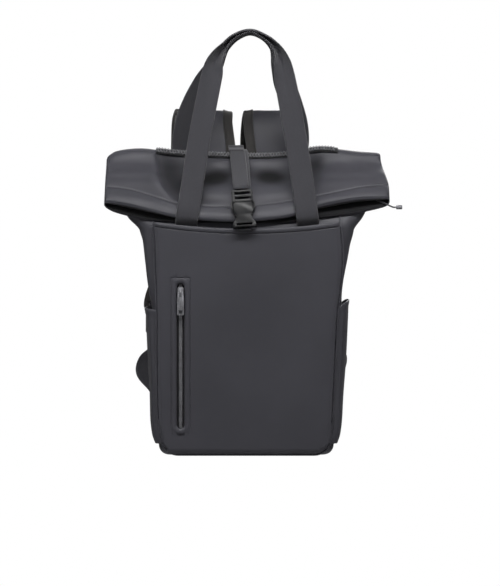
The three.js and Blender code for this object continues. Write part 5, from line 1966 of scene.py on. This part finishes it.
def strap_end(side, name):
    """The adjuster, the loop that holds it on the padded strap, and the webbing from it to
    the bag's lower corner."""
    softened(f"strap_adjuster_{name}", f"{name}_adjuster", "plastic", 0.8)
    centre = lock_centre(side)
    behind = centre[1] + LOCK_THICK / 2 + 2 * SEAT + WEB / 2
    corner = float(body_size(SHOULDER * 0.16)["back"]) + SEAT + WEB / 2
    rows = TAIL[name]
    top = np.array([[centre[0], behind, centre[2] + k * LOCK_HEIGHT] for k in (0.3, -0.1, -0.6)])
    low = np.stack([
        side * rows["out"] * BODY_HALF,
        corner + (behind - corner) * rows["aft"],
        rows["up"] * centre[2],
    ], -1)
    webbing(f"{name}_lower_webbing", np.concatenate([top, low]), TAIL_WIDTH / 2 - 0.3, WEB, 8,
            f"strap_webbing_{name}")
    near, far = (centre[1] + k * (LOCK_THICK / 2 + 1.6) for k in (-1, 1))
    z = centre[2] + LOCK_HEIGHT / 2
    loop = np.array([
        [near + 0.8, z + 12], [near, z + 4], [near, z - 3], [centre[1], z - LOCK_WINDOW - 0.2],
        [far, z - 3], [far, z + 4], [far - 0.8, z + 12],
    ])
    loop = np.insert(loop, 0, centre[0], axis=1)
    webbing(f"{name}_adjuster_loop", loop, TAIL_WIDTH / 2 - 0.5, 1.3, 5)


def strap_ends():
    """The lower ends of both straps."""
    strap_end(-1, "left")
    strap_end(1, "right")


# Top zip


def fold_point(x, degrees, stand):
    """A point over the fold: an angle about the fold's centre, from the back over the top to
    the front, and a distance off the cloth. Past the bend it runs straight on down the flap."""
    x, degrees, stand = np.broadcast_arrays(x, degrees, stand)
    centre = fold_centre(x / FLAP_HALF)
    angle = np.minimum(np.radians(degrees), BEND_ANGLE)
    radius = FOLD_OUTER + stand
    past = radius * np.maximum(np.radians(degrees) - BEND_ANGLE, 0)
    return np.stack([
        x,
        FOLD_LINE - FOLD_RADIUS + radius * np.cos(angle) - past * np.sin(angle),
        centre + radius * np.sin(angle) + past * np.cos(angle),
    ], -1)


def rods(starts, ends, outs, wide, high):
    """Many short rounded bars at once: each runs from its start to its end, is wide and high
    about that line, and narrows to both ends."""
    sides = 6
    t = np.array([0.0, 0.06, 0.22, 0.5, 0.78, 0.94, 1.0])
    girth = np.array([0.4, 0.8, 1.0, 1.0, 1.0, 0.8, 0.4])
    turn = (np.arange(sides) + 0.5) * (2 * math.pi / sides)
    ahead = unit(ends - starts)
    side = unit(np.cross(ahead, outs))
    out = np.cross(side, ahead)
    centre = starts[:, None] + (ends - starts)[:, None] * t[None, :, None]
    ring = (side[:, None, None] * (np.cos(turn) * wide / 2)[None, None, :, None]
            + out[:, None, None] * (np.sin(turn) * high / 2)[None, None, :, None])
    points = centre[:, :, None] + ring * girth[None, :, None, None]
    cell = faces_of(7, sides, False, True)
    offsets = 7 * sides * np.arange(len(starts))
    faces = (cell[None] + offsets[:, None, None]).reshape(-1, 4).tolist()
    first = np.arange(sides)[::-1]
    faces += (first[None] + offsets[:, None]).tolist()
    faces += (first[::-1][None] + 6 * sides + offsets[:, None]).tolist()
    return points.reshape(-1, 3), faces, None


def top_zip():
    """The chunky zip along the fold: a woven tape bent over it and two rows of moulded teeth
    that lean across each other like a row of crosses."""
    x = np.linspace(-ZIP_REACH, ZIP_REACH, 120)[:, None]
    degrees = np.linspace(ZIP_FROM, ZIP_TO, 40)[None, :]
    grid = fold_point(x, degrees, ZIP_SEAT + ZIP_TAPE)
    tape = dressed("top_zip_tape", thick_sheet(grid, -ZIP_TAPE), "tape")
    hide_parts("top_zip")

    pitch = bpy.context.scene.backpack.tooth_pitch / MM
    middle_x = np.arange(-ZIP_REACH + 3, ZIP_REACH - 3, pitch)
    stand = ZIP_SEAT + ZIP_TAPE + TOOTH_STAND
    half = (TEETH_FROM + TEETH_TO) / 2
    lean = TOOTH_LEAN * pitch
    starts = np.concatenate([fold_point(middle_x - lean, TEETH_FROM, stand),
                             fold_point(middle_x + lean, TEETH_FROM + 2, stand + 0.5)])
    ends = np.concatenate([fold_point(middle_x + lean, TEETH_TO, stand),
                           fold_point(middle_x - lean, TEETH_TO - 2, stand + 0.5)])
    outs = np.tile(unit(fold_point(0.0, half, 1.0) - fold_point(0.0, half, 0.0)),
                   (len(starts), 1))
    return dressed("top_zip_teeth", rods(starts, ends, outs, 1.5, 2.0), "teeth")


# Closing strap and buckle


def clasp_point(x, y, z):
    """A point of the buckle's own frame, whose heights run from the socket's foot: leaned to
    the side, tilted back over the mouth edge and set before the flap."""
    x, y, z = np.broadcast_arrays(*(np.asarray(v, float) for v in (x, y, z)))
    c, s = math.cos(-BUCKLE_LEAN), math.sin(-BUCKLE_LEAN)
    x, z = x * c + z * s, -x * s + z * c
    c, s = math.cos(-BUCKLE_TILT), math.sin(-BUCKLE_TILT)
    y, z = y * c - z * s, y * s + z * c
    foot = float(flap_face(np.float64(MOUTH), DUCT_HALF)) - 1.2
    foot -= BUCKLE_THICK / 2 / math.cos(BUCKLE_TILT)
    depth = foot - (MOUTH - BUCKLE_FOOT) * math.tan(BUCKLE_TILT)
    return np.stack([x + BUCKLE_MIDDLE, y + depth, z + BUCKLE_FOOT], -1)


def buckle():
    """The fastened buckle: the receiving half with its waist, the ladder half above it, and
    the ladder half's two sprung arms that show beside the waist."""
    softened("buckle_socket", "buckle_socket_half", "plastic", 0.9)
    softened("buckle_latch", "buckle_ladder_half", "plastic", 0.7)
    split = 0.66 * BUCKLE_LONG
    half = (CLOSE_WIDTH + 8) / 2
    rows = table(
        "z x",
        (split + 2, half - 1.6),
        (split - 3, half - 0.4),
        (split - 8, half - 0.6),
        (split - 13, half - 2.6),
        (split - 17, half - 4.4),
        (split - 20, half - 5.0),
    )
    parts = []
    for side in (-1, 1):
        at = smooth_route(clasp_point(side * rows["x"], -0.4, rows["z"]), 5)[0]
        wide, deep = frames_along(at, clasp_point(0, 1, 0) - clasp_point(0, 0, 0), False)
        outline = np.array([(-1.2, -1.5), (-0.8, -2.1), (0.8, -2.1), (1.2, -1.5), (1.2, 1.5),
                            (0.8, 2.1), (-0.8, 2.1), (-1.2, 1.5)])[None]
        parts.append(tube(strap_rings(at, wide, deep, outline)))
    return dressed("buckle_arms", joined(parts), "plastic")


def closing_strap():
    """The webbing from behind the fold, over the zip and down to the buckle, and the end that
    comes back over it: a folded tab with a seam across, a little to the left."""
    bar = clasp_point(0, 0, BUCKLE_LONG + WEB)
    over = 3 * SEAT + ZIP_TAPE + ZIP_TOOTH + WEB
    start_z = RIM - 14
    under = np.concatenate([
        [[-16, float(body_size(start_z)["back"]) + 3, start_z]],
        fold_point(-5 - np.array([11, 11, 9.5, 8, 6.5]), np.array([0, 35, 70, 105, 138]), over)
        + [1.5, 0, 0],
        [bar + [1.2, 0, 0]],
    ])
    half = CLOSE_WIDTH / 2 - 0.3
    webbing("closing_webbing", under, half, WEB, 10, "closing_strap")
    lift = WEB + 0.1
    tip = fold_point(-16.0, 86.0, over + lift + 4.4)
    points = np.stack([
        tip,
        fold_point(-15.8, 96.0, over + lift + 1.0),
        fold_point(-15.2, 116.0, over + lift),
        fold_point(-14.0, 138.0, over + lift),
        bar + [-0.6, -lift * 0.8, 1.0],
    ])
    webbing("closing_tab", points, half - 0.8, WEB * 0.9, 10)
    seam_x = np.linspace(-half + 2.2, half - 2.2, 30)
    line = fold_point(-15.4 + 0 * seam_x, 127.0, over + lift + WEB / 2) + np.stack(
        [seam_x, 0 * seam_x, 0 * seam_x], -1)
    stitches("closing_stitching", [(line, (0, -0.8, 0.5))], drop=0.25)


ANCHOR_HALF = 10.3


def buckle_anchor():
    """Short webbing from behind the front panel's top edge to the socket's lower bar."""
    thick = WEB * 0.8
    bar = clasp_point(0, 0, -4 * SEAT - thick)
    y = -BODY_DEPTH / 2 - SEAT - WEB / 2
    edge = PANEL_TOP - PANEL_DIP
    x = bar[0]
    points = np.array([
        [x, y, edge - 12], [x, y, edge - 2], [x, PANEL_FACE, edge + 1.9],
        [x, PANEL_FACE - 5, edge - 0.2], bar,
    ])
    return webbing("buckle_anchor_webbing", points, ANCHOR_HALF, thick, 6, "buckle_anchor")


# Mouth pull


# The pull cord's route: out past the flap's edge and forward of its face in millimetres, up
# in shares of the flap's drop
PULL = table(
    "out up forward",
    (-18, 0.287, -2.0),
    (-8, 0.25, -1.0),
    (0, 0.213, 1.5),
    (5, 0.194, 3.5),
    (8.25, 0.194, 4.0),
)
PULL_CORD = 2.2


def mouth_pull():
    """A round twisted cord from the mouth's right end, and the flat metal tip on it."""
    z = MOUTH + PULL["up"] * FLAP_DROP
    points = np.stack([FLAP_HALF + PULL["out"], flap_face(z, 0.0) - PULL["forward"], z], -1)
    at = smooth_route(points, 12)[0]
    twist = np.cos(np.arange(len(at))[:, None] * 1.3 + np.arange(12)[None] * 1.05)
    rings = round_rings(at, PULL_CORD / 2, 12)
    rings = at[:, None] + (rings - at[:, None]) * (1 + 0.09 * twist)[..., None]
    cord = dressed("mouth_pull_cord", tube(rings), "webbing")
    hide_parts("mouth_pull_loop")
    softened("mouth_pull_tip", "mouth_pull_plate", "metal", 0.45)


# Operators


class BACKPACK_OT_main_bag(bpy.types.Operator):
    """Builds the main bag and the seams of its neck"""

    bl_idname = "backpack.main_bag"
    bl_label = "Main bag"

    def execute(self, context):
        bag_shell()
        neck_seam()
        return {"FINISHED"}


class BACKPACK_OT_folded_top(bpy.types.Operator):
    """Builds the folded top with its hem, and the zip along its fold"""

    bl_idname = "backpack.folded_top"
    bl_label = "Folded top"

    def execute(self, context):
        roll_top()
        hem_stitching()
        top_zip()
        return {"FINISHED"}


class BACKPACK_OT_front_panel(bpy.types.Operator):
    """Builds the front pocket's panel with its piping and stitching"""

    bl_idname = "backpack.front_panel"
    bl_label = "Front panel"

    def execute(self, context):
        front_panel()
        panel_piping()
        panel_stitching()
        return {"FINISHED"}


class BACKPACK_OT_pocket_zip(bpy.types.Operator):
    """Builds the front pocket's zip with its slider and pull tab"""

    bl_idname = "backpack.pocket_zip"
    bl_label = "Pocket zip"

    def execute(self, context):
        pocket_zip()
        zip_pull()
        return {"FINISHED"}


class BACKPACK_OT_side_pockets(bpy.types.Operator):
    """Builds the pockets on the two gussets"""

    bl_idname = "backpack.side_pockets"
    bl_label = "Side pockets"

    def execute(self, context):
        side_pockets()
        return {"FINISHED"}


class BACKPACK_OT_handles(bpy.types.Operator):
    """Builds the two carry handles"""

    bl_idname = "backpack.handles"
    bl_label = "Carry handles"

    def execute(self, context):
        handles()
        return {"FINISHED"}


class BACKPACK_OT_back_panel(bpy.types.Operator):
    """Builds the padded back"""

    bl_idname = "backpack.back_panel"
    bl_label = "Back panel"

    def execute(self, context):
        back_panel()
        return {"FINISHED"}


class BACKPACK_OT_shoulder_straps(bpy.types.Operator):
    """Builds the padded straps with their bindings, adjusters and lower webbing"""

    bl_idname = "backpack.shoulder_straps"
    bl_label = "Shoulder straps"

    def execute(self, context):
        shoulder_straps()
        strap_ends()
        return {"FINISHED"}


class BACKPACK_OT_closure(bpy.types.Operator):
    """Builds the closing strap, the buckle and its anchor"""

    bl_idname = "backpack.closure"
    bl_label = "Closure"

    def execute(self, context):
        buckle()
        closing_strap()
        buckle_anchor()
        return {"FINISHED"}


class BACKPACK_OT_mouth_pull(bpy.types.Operator):
    """Builds the cord and tip at the mouth's right end"""

    bl_idname = "backpack.mouth_pull"
    bl_label = "Mouth pull"

    def execute(self, context):
        mouth_pull()
        return {"FINISHED"}


STEPS = (
    BACKPACK_OT_stage,
    BACKPACK_OT_main_bag,
    BACKPACK_OT_folded_top,
    BACKPACK_OT_front_panel,
    BACKPACK_OT_pocket_zip,
    BACKPACK_OT_side_pockets,
    BACKPACK_OT_handles,
    BACKPACK_OT_back_panel,
    BACKPACK_OT_shoulder_straps,
    BACKPACK_OT_closure,
    BACKPACK_OT_mouth_pull,
)


class BACKPACK_PT_pieces(bpy.types.Panel):
    """Lists the settings and the steps in the order that they run in"""

    bl_idname = "BACKPACK_PT_pieces"
    bl_label = "Backpack"
    bl_space_type = "VIEW_3D"
    bl_region_type = "UI"
    bl_category = "Backpack"

    def draw(self, context):
        settings = context.scene.backpack
        for name in BackpackSettings.__annotations__:
            self.layout.prop(settings, name)
        for step in STEPS:
            self.layout.operator(step.bl_idname)


CLASSES = (BackpackSettings, *STEPS, BACKPACK_PT_pieces)


def register():
    for cls in CLASSES:
        bpy.utils.register_class(cls)
    bpy.types.Scene.backpack = bpy.props.PointerProperty(type=BackpackSettings)


def unregister():
    del bpy.types.Scene.backpack
    for cls in reversed(CLASSES):
        bpy.utils.unregister_class(cls)


def main():
    """Runs every step in order."""
    register()
    for step in STEPS:
        group, name = step.bl_idname.split(".")
        getattr(getattr(bpy.ops, group), name)()


if __name__ == "__main__":
    main()
